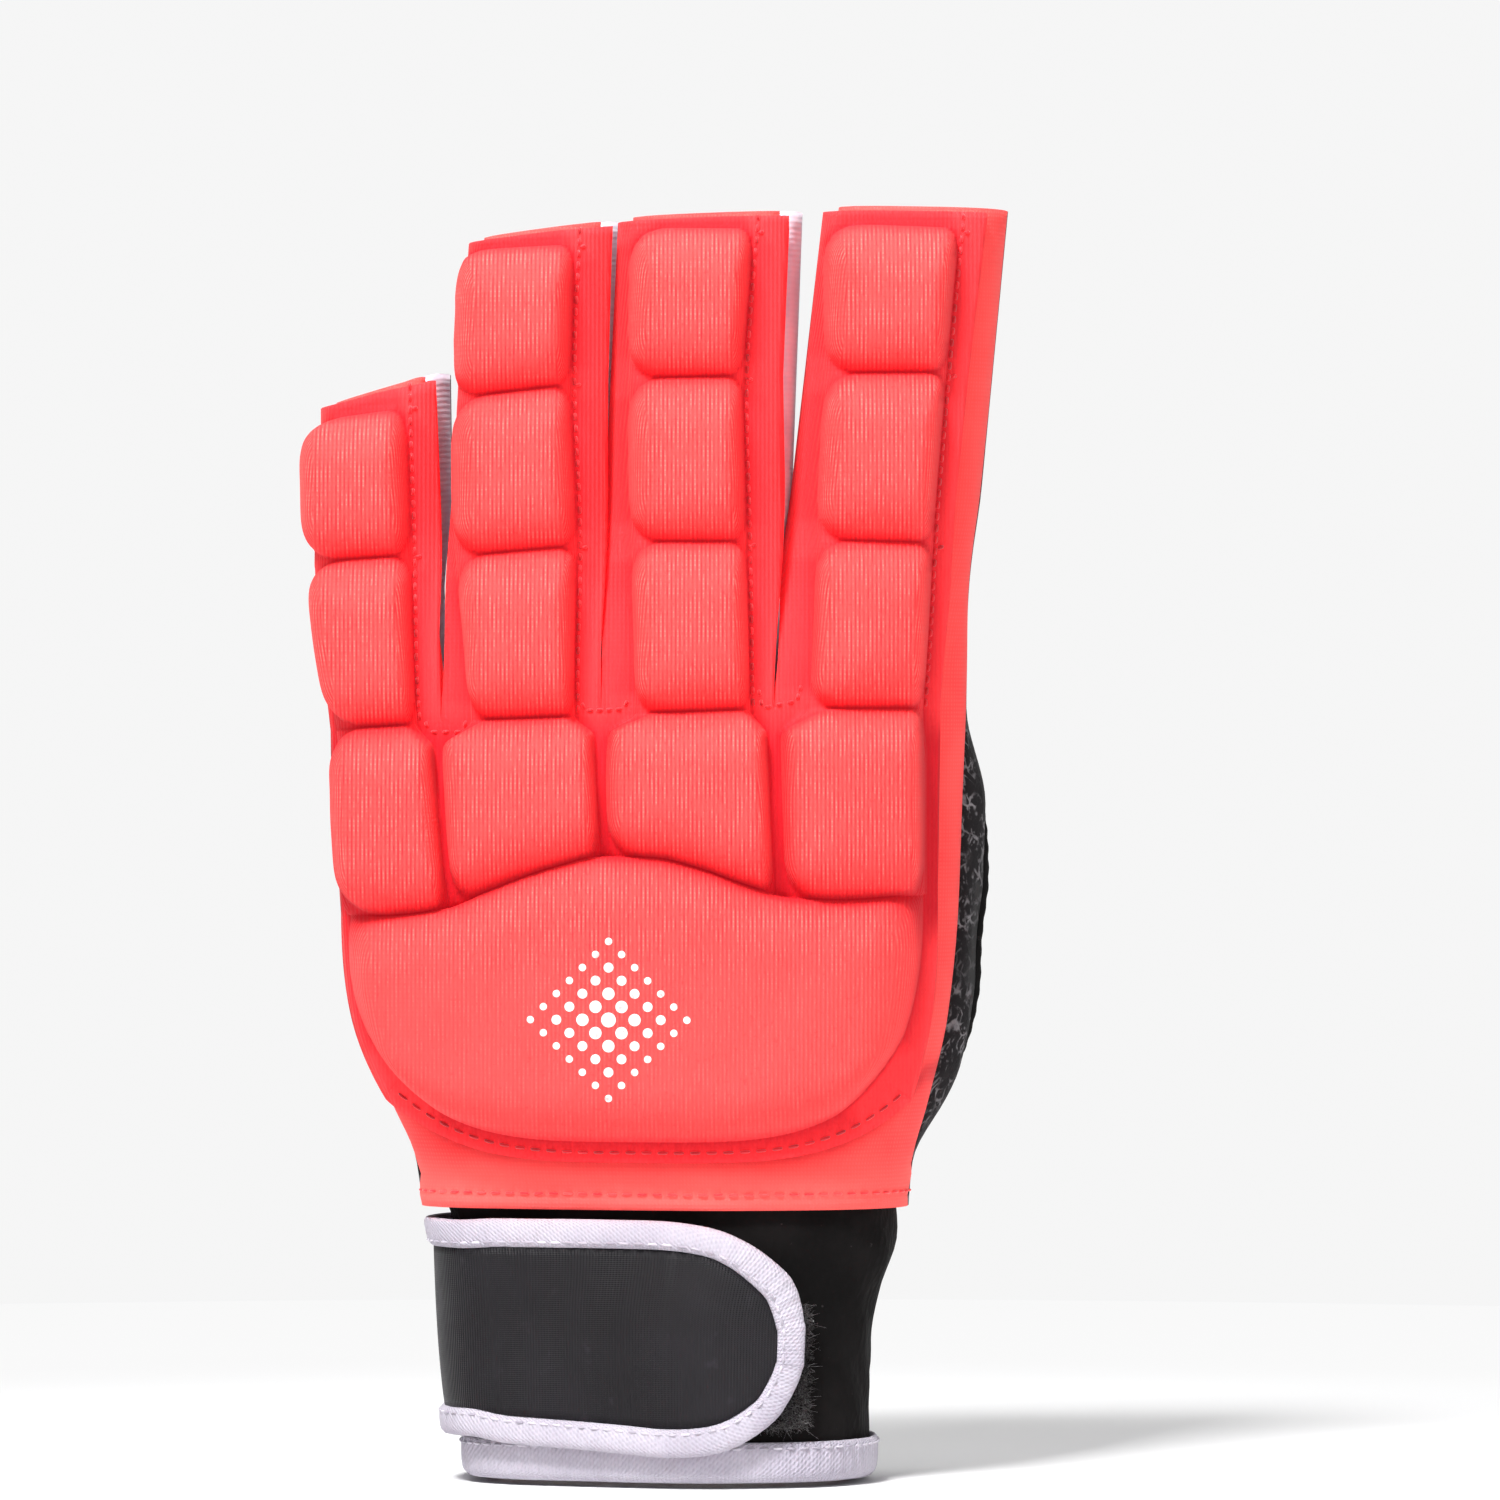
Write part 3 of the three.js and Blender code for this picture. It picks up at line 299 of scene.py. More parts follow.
# A column is its section and its share of it. The sections are the flange, the block and the flange.
SHARES = ([(0, t) for t in np.linspace(0, 1, 4)[:-1]]
          + [(1, t) for t in np.linspace(0, 1, 33)]
          + [(2, t) for t in np.linspace(0, 1, 7)[1:]])
SECTIONS = np.array([section for section, _ in SHARES])


def across(flange_left, left, right, flange_right):
    """Every column's x, and how near it is to the block's side: 1 there and on the flange, 0 on the top."""
    xs, sides = [], []
    for section, t in SHARES:
        if section == 1:
            # closer columns at the block's edges
            w = mix(t, 0.5 - 0.5 * math.cos(math.pi * t), 0.75)
            width = right - left
            xs.append(mix(left, right, w))
            sides.append(max(near(w * width, LEFT_SHOULDER), near((1 - w) * width, RIGHT_SHOULDER)))
        else:
            xs.append(mix(flange_left, left, t) if section == 0 else mix(right, flange_right, t))
            sides.append(1.0)
    return np.array(xs), np.array(sides)


def along_steps(length):
    """Shares from a block's lower line to its upper one, closer at both grooves."""
    t = np.linspace(0, 1, max(8, int(length / SPACING)) + 1)
    return mix(t, 0.5 - 0.5 * np.cos(math.pi * t), 0.7)[1:-1]


def strip_rows(finger):
    lines = []
    last = len(STRIPS[finger]) - 2
    for z_left, z_right, *edges in STRIPS[finger]:
        xs, side = across(*edges)
        lines.append((xs, mix(z_left, z_right, (xs - xs[0]) / (xs[-1] - xs[0])), side))
    rows = [(lines[0][0], lines[0][1], BLOCK_HEIGHT * puff(lines[0][2], 0, CREASE))]
    for i, ((x0, z0, side0), (x1, z1, side1)) in enumerate(zip(lines, lines[1:])):
        end = 0 if i + 1 >= last else CREASE
        if i == last:
            rows.append((mix(x0, x1, 0.5), mix(z0, z1, 0.5), 0 * side0))
        else:
            for t in along_steps(BLOCK_LENGTH):
                zs, side = mix(z0, z1, t), mix(side0, side1, t)
                lower = zs - z0 < z1 - zs
                h = BLOCK_HEIGHT * np.where(lower, puff(side, zs - z0, CREASE), puff(side, z1 - zs, end))
                rows.append((mix(x0, x1, t), zs, h))
        rows.append((x1, z1, BLOCK_HEIGHT * puff(side1, 0, end)))
    return rows


def knuckle_rows(finger, top_x, top_z):
    top_left, top_right, bottom_left, bottom_right = KNUCKLES[finger]
    low_left = (KNUCKLES[finger - 1][3] + bottom_left) / 2 if finger > 0 else KNUCKLE_FLANGE[0]
    low_right = (bottom_right + KNUCKLES[finger + 1][2]) / 2 if finger < 3 else KNUCKLE_FLANGE[1]
    x0, side0 = across(low_left, bottom_left, bottom_right, low_right)
    x1, side1 = across(top_x[0], top_left, top_right, top_x[-1])
    z0 = cubic(GROOVE[:, 0], GROOVE[:, 1], x0)
    # the valleys beside a block run out to the flange at the web, and are missing at the hand's outer sides
    inner = np.where(SECTIONS == {0: 0, 3: 2}.get(finger, -1), 0.0, 1.0)

    def height(t, distance):
        valley = VALLEY * (1 - ease((t - 0.45) / 0.5)) * inner * along_block(distance, CREASE)
        block = puff(mix(side0, side1, t), distance, CREASE)
        return KNUCKLE_HEIGHT * np.hypot(valley, rounded(valley) * block)

    rows = [(x0, z0, height(0.0, 0 * z0))]
    for t in along_steps(KNUCKLE_LENGTH):
        zs = mix(z0, top_z, t)
        wide = mix(x0, x1, np.minimum(1, t / (1 - WEB)))
        xs = mix(wide, top_x, ease((t - 1 + WEB) / WEB))
        rows.append((xs, zs, height(t, np.minimum(zs - z0, top_z - zs))))
    return rows


def edge_point(edge, g):
    low, rise, left, right, exponent = edge
    return mix(left, right, (g + 1) / 2), low + rise * np.abs(g) ** exponent


def pad_rows(finger, top_x, top_z):
    left, right = KNUCKLES[0][2], KNUCKLES[3][3]
    g = np.clip(2 * (top_x - left) / (right - left) - 1, -1, 1)
    low_x, low_z = edge_point(PAD_EDGE, g)
    out_x, out_z = edge_point(FLANGE_EDGE, g)
    # outside the block's side the flange has its own path
    beyond = np.zeros(len(SHARES))
    if finger == 0:
        beyond = np.clip((left - top_x) / (left - KNUCKLE_FLANGE[0]), 0, 1)
    elif finger == 3:
        beyond = np.clip((top_x - right) / (KNUCKLE_FLANGE[1] - right), 0, 1)
    low_x, low_z = mix(low_x, out_x, beyond), mix(low_z, out_z, beyond)
    rows = [(mix(out_x, low_x, t), mix(out_z, low_z, t), 0 * low_z) for t in np.linspace(0, 1, 5)[:-1]]
    for s in [0, *along_steps(PAD_LENGTH)]:
        out = 1 - (1 - s) ** PAD_SIDE_POWER
        zs, xs = mix(low_z, top_z, s), mix(low_x, top_x, out)
        reach = np.minimum(xs - mix(PAD_EDGE[2], left, out), mix(PAD_EDGE[3], right, out) - xs)
        a, b = near(np.maximum(0, reach), BACK_SHOULDER), near(zs - low_z, BACK_SHOULDER)
        h = BACK_HEIGHT * rounded(np.hypot(a, b)) * along_block(top_z - zs, CREASE)
        rows.append((xs, zs, np.where((beyond > 0) | (s == 0), 0, h)))
    return rows


# Meshes
def mesh_object(name, points, faces, uv):
    """A smooth mesh from points in millimetres. uv has a row for each point: u, v, and then rise and the
    share of painted shade.
    """
    mesh = bpy.data.meshes.new(name)
    mesh.from_pydata((points / 1000).tolist(), [], faces)
    index = np.empty(len(mesh.loops), dtype=np.int32)
    mesh.loops.foreach_get("vertex_index", index)
    mesh.uv_layers.new(name="cloth").data.foreach_set("uv", uv[index, :2].astype(np.float32).ravel())
    for kind, values in zip(("rise", "painted_shade"), uv.T[2:]):
        mesh.attributes.new(kind, "FLOAT", "POINT").data.foreach_set("value", values.astype(np.float32))
    mesh.polygons.foreach_set("use_smooth", [True] * len(mesh.polygons))
    mesh.update()
    obj = bpy.data.objects.new(name, mesh)
    bpy.context.scene.collection.objects.link(obj)
    return obj


def weld(points, faces, uv):
    """Merges points that lie together, and drops faces that fall flat."""
    keys = np.round(points * 2000).astype(np.int64)
    _, first, inverse = np.unique(keys, axis=0, return_index=True, return_inverse=True)
    inverse = inverse.ravel()
    kept = []
    for face in faces:
        corners = [int(inverse[k]) for k in face]
        loop = [c for k, c in enumerate(corners) if c != corners[k - 1]]
        if len(set(loop)) == len(loop) and len(loop) > 2:
            kept.append(loop)
    return points[first], kept, uv[first]


def sheet_object(name, patches):
    """A closed sheet. A patch is (outer, inner, uv, left, right, cut): grids of points, the rows from which
    its sides are free edges, and the cells that are left out."""
    points, faces, uvs, start = [], [], [], 0
    for outer, inner, uv, left, right, cut in patches:
        n = outer[..., 0].size
        points += [outer.reshape(n, 3), inner.reshape(n, 3)]
        uvs += [uv.reshape(n, -1)] * 2
        ids = np.arange(n).reshape(outer.shape[:2]) + start
        cells = np.stack([ids[:-1, :-1], ids[:-1, 1:], ids[1:, 1:], ids[1:, :-1]], -1)
        cells = cells.reshape(-1, 4) if cut is None else cells[~cut]
        edges = np.concatenate([np.roll(cells, -k, 1)[:, :2] for k in range(4)])
        _, first, uses = np.unique(np.sort(edges, 1), axis=0, return_index=True, return_counts=True)
        joined = [set(ids[:left + 1, 0].tolist()), set(ids[:right + 1, -1].tolist())]
        rim = [edge for edge in edges[first[uses == 1]].tolist()
               if not any(set(edge) <= side for side in joined)]
        faces += cells.tolist() + (cells[:, [0, 3, 2, 1]] + n).tolist()
        faces += [[q, p, p + n, q + n] for p, q in rim]
        start += 2 * n
    return mesh_object(name, *weld(np.concatenate(points), faces, np.concatenate(uvs)))


def sweep_object(name, outlines, closed, turn=1):
    """A solid swept along a list of closed outlines, with flat ends where it isn't a ring. Turn is -1 for
    outlines that run the other way round."""
    count, n = outlines.shape[:2]
    ids = np.arange(count * n).reshape(count, n)
    a, d = (ids, np.roll(ids, -1, 0)) if closed else (ids[:-1], ids[1:])
    others = [np.roll(a, -1, 1), np.roll(d, -1, 1), d][::turn]
    faces = np.stack([a, *others], -1).reshape(-1, 4).tolist()
    if not closed:
        faces += [ids[0, ::-turn].tolist(), ids[-1, ::turn].tolist()]
    u, v = np.broadcast_arrays(run_along(outlines.mean(1))[:, None], np.arange(n)[None, :])
    return mesh_object(name, outlines.reshape(-1, 3), faces, np.stack([u, v], -1).reshape(-1, 2) * 0.1)


def cloth_uv(points, base_x):
    """UV in centimetres of cloth: the run across each row, centred on its finger, and the height."""
    u = run_along(points)
    u = u - u[:, u.shape[1] // 2][:, None] + base_x
    return np.stack([u / 10, points[..., 2] / 10], -1)


def foam_softness(x, z, h):
    """Slight swelling of the moulded foam."""
    swell = 0.16 * np.sin(0.21 * x + 0.9) * np.sin(0.17 * z + 0.4) + 0.10 * np.sin(0.47 * x - 0.31 * z)
    return ease(h / 6) * swell


def painted_crease_shade(x, z, h):
    """How sharply the foam folds inwards, 1 along creases and at the foot of the blocks: the mask of the
    painted shade there.
    """
    def bend_of(along, axis):
        step = np.gradient(along, axis=axis)
        step = np.where(np.abs(step) < 0.02, 0.02, step)
        return np.gradient(np.gradient(h, axis=axis) / step, axis=axis) / step

    spread = np.clip(0.22 * (np.maximum(bend_of(z, 0), 0) + 0.6 * np.maximum(bend_of(x, 1), 0)), 0, 1)
    for _ in range(3):
        beside = [np.roll(spread, shift, axis) for axis in (0, 1) for shift in (-1, 1)]
        spread = np.maximum(spread, 0.66 * np.max(beside, 0))
    return spread


def padded_back():
    patches = []
    for finger in range(4):
        upper = strip_rows(finger)
        top_x, top_z = upper[0][:2]
        knuckle = knuckle_rows(finger, top_x, top_z)
        lower = pad_rows(finger, *knuckle[0][:2])
        rows = lower + knuckle + upper
        x, z, h = (np.stack([row[k] for row in rows]) for k in range(3))
        point, normal, lean = back_surface(finger, x, z)
        # the blocks' sides towards the thumb stand upright, and the little finger's blocks swell outwards
        on_blocks = ease((np.arange(len(rows)) - len(lower) + 4) / 8)[:, None]
        shift = np.array([(0.0, t, 1 - t)[section] for section, t in SHARES])[None, :]
        tilt = np.radians(lean * (1 - UPRIGHT * ease((shift - 0.35) / 0.4) * on_blocks))
        direction = np.stack([-np.sin(tilt), -np.cos(tilt), 0 * tilt], -1)
        if finger == 0:
            left, right = (x[:, SECTIONS == 1][:, [k]] for k in (0, -1))
            beside = 1 - ease((x - left - 1.8) / (right - left - 4.5))
            direction[..., 0] -= SWELL / BLOCK_HEIGHT * beside * on_blocks
        outer = point + normal * (PAD_LIFT + FLANGE) + direction * (h + foam_softness(x, z, h))[..., None]
        uv = np.stack([outer[..., 0] / 10, outer[..., 2] / 10, h, painted_crease_shade(x, z, h)], -1)
        slit = len(lower) + len(knuckle)
        patches.append((outer, point + normal * PAD_LIFT, uv,
                        slit if finger > 0 else 0, slit if finger < 3 else 0, None))
    return sheet_object("padded_back_foam", patches)


# Shell, palm and side walls
def tip_height(finger, x):
    z_left, z_right, left, _, _, right = STRIPS[finger][-1]
    return mix(z_left, z_right, np.clip((x - left) / (right - left), -0.1, 1.1)) + TIP_MARGIN


def flange_x(finger, side, z):
    """The x of a finger's flange on its left (-1) or right (1) side."""
    lines = STRIPS[finger]
    knots, values = (lines[:, 0], lines[:, 2]) if side < 0 else (lines[:, 1], lines[:, 5])
    root_left, root_right = columns(BODY, knots[0])[:2]
    left, right = columns(BODY, z)[:2]
    below = mix(left, right, (values[0] - root_left) / (root_right - root_left))
    return np.where(z > knots[0], cubic(knots, values, z), below)


def slit_x(finger, side, z, root):
    """The same, with the two fingers' cloths joined below the root of the slit."""
    x = flange_x(finger, side, z)
    if not 0 <= finger + side <= 3:
        return x
    return np.where(z > root, x, (x + flange_x(finger + side, -side, z)) / 2)


def strip_grid(surface, root, finger):
    """Heights of a sheet's grid, even from hem to slit and then on to the finger's slanting end, and the row
    of the slit's root on each side."""
    low = np.linspace(SHELL_BOTTOM, root, max(2, int((root - SHELL_BOTTOM) / COARSE)) + 1)
    shares = np.linspace(0, 1, int(70 / COARSE))[1:, None]
    tip_x = surface(np.full((1, 1), float(TIP_Z)))[0][0, :, 0]
    z = np.concatenate([np.repeat(low[:, None], len(tip_x), 1), mix(root, tip_height(finger, tip_x), shares)])
    slit = len(low) - 1
    return z, slit if finger > 0 else 0, slit if finger < 3 else 0


def thumb_seam(z):
    return mix(THUMB_SEAM, INDEX_SEAM, np.clip((z - SEAM_TURN) / SEAM_TURN_HEIGHT, 0, 1))


def hem_folds(x, z):
    """Shallow folds of the cloth between the pad and the wrist hem."""
    near_hem = np.exp(-((z - 45.2) / 2.6) ** 2)
    return near_hem * (0.40 * np.sin(0.9 * (z - 45.6) + 0.05 * x) + 0.22 * np.sin(0.21 * x + 0.5 * z) - 0.1)


def shadow_under_flange(x, z):
    """The painted shadow on the shell under the foam flange's edge: 1 at the lower edge of the foam's flange,
    falling to 0 over a few millimetres.
    """
    low, rise, left, right, exponent = FLANGE_EDGE
    edge = low + rise * np.abs(np.clip(2 * (x - left) / (right - left) - 1, -1.1, 1.1)) ** exponent
    return np.clip(1 - np.abs(edge - z) / 3.2, 0, 1) ** 1.5


def back_shell():
    patches = []
    across_back = np.linspace(0, 1, BACK_COLUMNS)
    for finger in range(4):
        # the outer fingers' cloth also runs round the hand's side to the seam
        way = -1 if finger == 0 else 1
        around = {0: np.linspace(1, 0, 11)[:-1], 3: np.linspace(0, 1, 13)[1:]}.get(finger, np.zeros(0))
        back = slice(len(around), None) if finger == 0 else slice(0, BACK_COLUMNS)
        side = slice(0, len(around)) if finger == 0 else slice(BACK_COLUMNS, None)
        depth = np.zeros(BACK_COLUMNS + len(around))
        depth[side] = 0.5 * around

        def surface(z):
            z = z + np.zeros(len(depth))
            zb, zs = z[:, back], z[:, side]
            xs = mix(slit_x(finger, -1, zb, BACK_SLIT), slit_x(finger, 1, zb, BACK_SLIT), across_back)
            seam = thumb_seam(zs) + SEAM_ANGLE if finger == 3 else 180 - LITTLE_SEAM - SEAM_ANGLE
            angles = []
            for section in (body_at, lambda at: tube_at(finger, at)):
                angle = np.empty(z.shape)
                angle[:, back] = angle_at(section(zb), xs)
                angle[:, side] = mix(angle_at(section(zs), slit_x(finger, way, zs, BACK_SLIT)), seam, around)
                angles.append(angle)
            return blended(finger, *angles, z, own(z, depth))

        z, *joined = strip_grid(surface, BACK_SLIT, finger)
        point, normal = surface(z)
        point = point + normal * hem_folds(point[..., 0], point[..., 2])[..., None]
        # painted shadow on the shell under the flange's edge, kept with the painted shade
        below = shadow_under_flange(point[..., 0], point[..., 2])[..., None]
        uv = np.concatenate([cloth_uv(point, FINGERS[finger][0]), 0 * below, below], -1)
        patches.append((point, point - normal * FABRIC, uv, *joined, None))
    return sheet_object("back_shell_knit", patches)


def palm_point(finger, phi, theta, z):
    """Point and normal of the palm, drawn out round the thumb hole."""
    side = -theta if finger == 3 else 180 + theta if finger == 0 else 90 + 0 * theta
    point, normal = blended(finger, phi, theta, z, own(z, 0.5 + 0.5 * ease(side / 60)))
    if finger == 3:
        along = 1 - ease((np.abs(z - THUMB_HEIGHT) - 0.7 * THUMB_HALF_HEIGHT) / 16)
        flare = THUMB_FLARE * ease((THUMB_SEAM - phi) / 6) * along * (1 - ease((-phi - 46) / 24))
        point = point + normal * flare[..., None]
    return point, normal


def cut_thumb_hole(phi, z):
    """The cells inside the thumb hole, and the grid with the points on their rim drawn to its outline."""
    radius = np.hypot((phi + THUMB_ANGLE) / THUMB_HALF_ANGLE, (z - THUMB_HEIGHT) / THUMB_HALF_HEIGHT)
    cut = (radius[:-1, :-1] + radius[1:, :-1] + radius[:-1, 1:] + radius[1:, 1:]) / 4 < 1
    padded = np.pad(cut, 1, mode="edge")
    corners = np.stack([padded[:-1, :-1], padded[1:, :-1], padded[:-1, 1:], padded[1:, 1:]])
    scale = np.where(corners.any(0) & ~corners.all(0), 1 / np.maximum(radius, 1e-6), 1)
    return cut, -THUMB_ANGLE + (phi + THUMB_ANGLE) * scale, THUMB_HEIGHT + (z - THUMB_HEIGHT) * scale


def palm():
    patches = []
    for finger, count in enumerate((22, 14, 14, 40)):
        shares = np.linspace(0, 1, count)

        def angles(z):
            z = z + 0 * shares
            ends = []
            for way, seam, rim in ((-1, -180 - LITTLE_SEAM + SEAM_ANGLE + 0 * z, PALM_EDGE - 180),
                                   (1, thumb_seam(z) - SEAM_ANGLE, -PALM_EDGE)):
                if 0 <= finger + way <= 3:
                    ends.append((palm_angle_at(body_at(z), slit_x(finger, way, z, PALM_SLIT)), rim))
                else:
                    ends.append((seam, seam))
            return *(mix(a, b, shares) for a, b in zip(*ends)), z

        z, *joined = strip_grid(lambda z: palm_point(finger, *angles(z)), PALM_SLIT, finger)
        phi, theta, z = angles(z)
        cut = None
        if finger == 3:
            cut, phi, z = cut_thumb_hole(phi, z)
        outer, normal = palm_point(finger, phi, theta, z)
        patches.append((outer, outer - normal * FABRIC, cloth_uv(outer, FINGERS[finger][0]), *joined, cut))
    return sheet_object("palm_cloth", patches)


def side_wall(finger):
    """A stretch wall between two fingers: down one's side, through the crotch and up the next one's."""
    depths = np.linspace(0, 1, 15)[None, :]
    shares = np.linspace(0, 1, 40)[1:, None] ** 1.25
    floor = mix(BACK_SLIT + 2, PALM_SLIT + 2, depths)
    up = np.array([0.0, 0.0, 1.0])

    def wall(f, side, depth, z):
        """Point and normal of one side: straight through the hand below, curved round the finger above."""
        x, sideways = flange_x(f, side, z), np.array([side, 0.0, 0.0])
        body, tube = body_at(z), tube_at(f, z)
        back, front = (body(a) - outward(body, a) * LAP for a in (angle_at(body, x), palm_angle_at(body, x)))
        straight = mix(back, front, depth[..., None]) - sideways * WALL_GAP
        theta = mix(angle_at(tube, x), -PALM_EDGE if side > 0 else 180 + PALM_EDGE, depth)
        bulge = np.minimum(1, np.minimum(depth, 1 - depth) / 0.28)
        normal = outward(tube, theta)
        curved = tube(theta) + normal * (-LAP * (1 - ease(bulge)) - 0.1)[..., None]
        lowest = mix(BACK_SLIT + 2, PALM_SLIT + 2, depth)
        share = ease((z - lowest) / (FINGER_FULL - lowest))[..., None]
        return mix(straight, curved, share), unit(mix(sideways, normal, share))

    def rows(f, side):
        """One side's rows, their edges drawn to just inside the shell and the palm."""
        x = wall(f, side, depths, np.full(depths.shape, float(TIP_Z)))[0][..., 0]
        z = mix(floor, tip_height(f, x), shares)
        depth = depths + 0 * z
        point, normal = wall(f, side, depth, z)
        x = flange_x(f, side, z)
        under = palm_point(f, palm_angle_at(body_at(z), x), -PALM_EDGE if side > 0 else PALM_EDGE - 180.0, z)
        moved = point.copy()
        for (edge, edge_normal), at in ((back_surface(f, x, z)[:2], 0.0), (under, 1.0)):
            target = edge - edge_normal * LAP - np.array([side, 0.0, 0.0]) * WALL_GAP
            weight = np.maximum(0, 1 - np.abs(depth - at) / 0.4)
            moved += (target - wall(f, side, np.full(z.shape, at), z)[0]) * weight[..., None]
        return moved, unit(mix(normal, up, (1 - ease(shares / 0.08))[..., None]))

    (a, a_normal), (b, b_normal) = rows(finger, 1), rows(finger + 1, -1)
    saddle = (wall(finger, 1, depths, floor)[0] + wall(finger + 1, -1, depths, floor)[0]) / 2
    outer = np.concatenate([a[::-1], saddle, b])
    normal = np.concatenate([a_normal[::-1], 0 * saddle + up, b_normal])
    run = run_along(np.swapaxes(outer, 0, 1)).T
    uv = np.stack([np.broadcast_to(depths * 1.8, run.shape), run / 10], -1)
    name = ("side_stretch_little_ring", "side_stretch_ring_middle", "side_stretch_middle_index")[finger]
    return sheet_object(name, [(outer, outer - normal * SIDE_FABRIC, uv, 0, 0, None)])


# Rolled edge of the thumb hole, cuff and cuff tape
def thumb_piping():
    turns = np.linspace(0, 2 * math.pi, 240, endpoint=False)

    def rim(turn):
        phi = -THUMB_ANGLE + THUMB_HALF_ANGLE * np.cos(turn)
        return palm_point(3, phi, phi, THUMB_HEIGHT + THUMB_HALF_HEIGHT * np.sin(turn))

    here, normal = rim(turns)
    inward = unit(np.cross(unit(rim(turns + 0.02)[0] - here), normal))
    centre = here + inward * (THUMB_CORD + 0.15) - normal * FABRIC / 2
    around = np.linspace(0, 2 * math.pi, 14, endpoint=False)
    pucker = 1 + 0.045 * np.sin(turns * 52)[:, None, None]
    c, s = np.cos(around)[None, :, None], np.sin(around)[None, :, None]
    outlines = centre[:, None] + (inward[:, None] * c + normal[:, None] * s) * THUMB_CORD * pucker
    return sweep_object("thumb_piping", outlines, True, -1)


def hoop_object(name, profile, wave):
    """A hoop round the wrist from a closed profile of offsets and heights."""
    angles = np.linspace(0, 360, 220, endpoint=False)[:, None] + 0 * profile[None, :, 0]
    offsets, heights = profile[:, 0] + 0 * angles, profile[:, 1] + 0 * angles
    return sweep_object(name, cuff_point(angles, heights, offsets + wave(angles, heights)), True)


def soft_profile(corners, steps):
    """A closed outline with straight runs between the given corners, each corner rounded off."""
    following = np.roll(corners, -1, 0)
    dense = np.concatenate([[mix(a, b, t) for t in np.linspace(0, 1, steps, endpoint=False)]
                            for a, b in zip(corners, following)])
    for _ in range(2):
        dense = (np.roll(dense, 1, 0) + 2 * dense + np.roll(dense, -1, 0)) / 4
    return dense


def cuff():
    heights = np.linspace(CUFF_BOTTOM, CUFF_TOP, 26)

    def wrinkles(angle, z):
        a = np.radians(angle)
        return 0.22 * np.sin(7 * a + 0.35 * z) * np.sin(0.23 * z) + 0.12 * np.sin(17 * a - 0.5 * z)

    outline = [(0, z) for z in heights] + [(-CUFF_THICKNESS, z) for z in heights[::-1]]
    return hoop_object("cuff_neoprene", np.array(outline), wrinkles)


def cuff_hem():
    close, far = BINDING_CLEARANCE, BINDING_CLEARANCE + BINDING_LEAF
    back = -CUFF_THICKNESS
    corners = np.array([
        (close, BINDING_HEIGHT), (close, CUFF_BOTTOM - 0.5), (back - close, CUFF_BOTTOM - 0.5),
        (back - close, BINDING_HEIGHT), (back - far, BINDING_HEIGHT), (back - far, 1.4),
        (back - 0.4, 0.2), (0.4, 0.2), (far, 1.4), (far, BINDING_HEIGHT),
    ])

    def wave(angle, z):
        return 0.10 * np.sin(np.radians(angle) * 58) * (z > 1) + 0.12 * np.sin(np.radians(angle) * 9)

    return hoop_object("cuff_hem_tape", soft_profile(corners, 4), wave)


# The strap, by the run along it from its tip and the height
def strap_table():
    curve = body_at(STRAP_TIP[1], CUFF_LINE)
    start, end = float(angle_at(curve, STRAP_TIP[0])), 360 + float(palm_angle_at(curve, STRAP_PALM_END))
    angles = np.linspace(start, end, 241)
    return run_along(cuff_point(angles, STRAP_TIP[1], STRAP_STAND)), angles


STRAP_RUNS, STRAP_ANGLES = strap_table()
# runs of the outline's points, closer at the round tip
STRAP_STATIONS = np.array([0.04, 0.25, 0.7, 1.4, 2.4, 3.8, 5.6, 8, 11, 15, 21, 28, 35, 42, 47, 52, 57, 62,
                           68, 76, 85, 93, 101])


def strap_point(run, z, offset):
    point = cuff_point(np.interp(run, STRAP_RUNS, STRAP_ANGLES), z, STRAP_STAND + offset)
    point[..., 0] -= np.minimum(0, run)
    return point


def smooth_path(points, steps=6):
    """A Catmull-Rom curve through the points."""
    padded = np.concatenate([[2 * points[0] - points[1]], points, [2 * points[-1] - points[-2]]])
    a, b, c, d = padded[:-3], padded[1:-2], padded[2:-1], padded[3:]
    square, cube = 2 * a - 5 * b + 4 * c - d, 3 * b - a - 3 * c + d
    out = [b + 0.5 * ((c - a) * t + square * t * t + cube * t ** 3)
           for t in np.linspace(0, 1, steps, endpoint=False)]
    return np.concatenate([np.stack(out, 1).reshape(-1, points.shape[1]), points[-1:]])


def strap_outline(distance):
    """The strap's outline from the end under the palm, along the top to the tip and back along the lower
    edge, moved inwards and drawn as one smooth curve."""
    runs = np.append(STRAP_STATIONS[STRAP_STATIONS < STRAP_RUNS[-1] - 3], STRAP_RUNS[-1])
    x = np.where(runs > 50, -31, strap_point(runs, STRAP_TIP[1], 0)[:, 0])
    top, low = columns(STRAP_LINE, x)
    path = np.concatenate([np.stack([runs, top], -1)[::-1], np.stack([runs, low], -1)])
    step = np.roll(path, -1, 0) - np.roll(path, 1, 0)
    step[0], step[-1] = path[1] - path[0], path[-1] - path[-2]
    step = unit(step)
    return smooth_path(path + np.stack([-step[:, 1], step[:, 0]], -1) * distance)


def strap():
    path = strap_outline(STRAP_EDGE + 0.1)
    half = len(path) // 2
    shares = np.linspace(0, 1, 22)[:, None]
    run, z = (mix(path[-half:, k], path[:half, k][::-1], shares) for k in (0, 1))
    softness = 0.22 * np.sin(0.16 * run + 0.6) * np.sin(0.2 * z) - 0.25 * (2 * shares - 1) ** 4
    outer = strap_point(run, z, STRAP_THICKNESS / 2 + softness)
    inner = strap_point(run, z, -STRAP_THICKNESS / 2)
    return sheet_object("strap_webbing", [(outer, inner, np.stack([run, z], -1) / 10, 0, 0, None)])


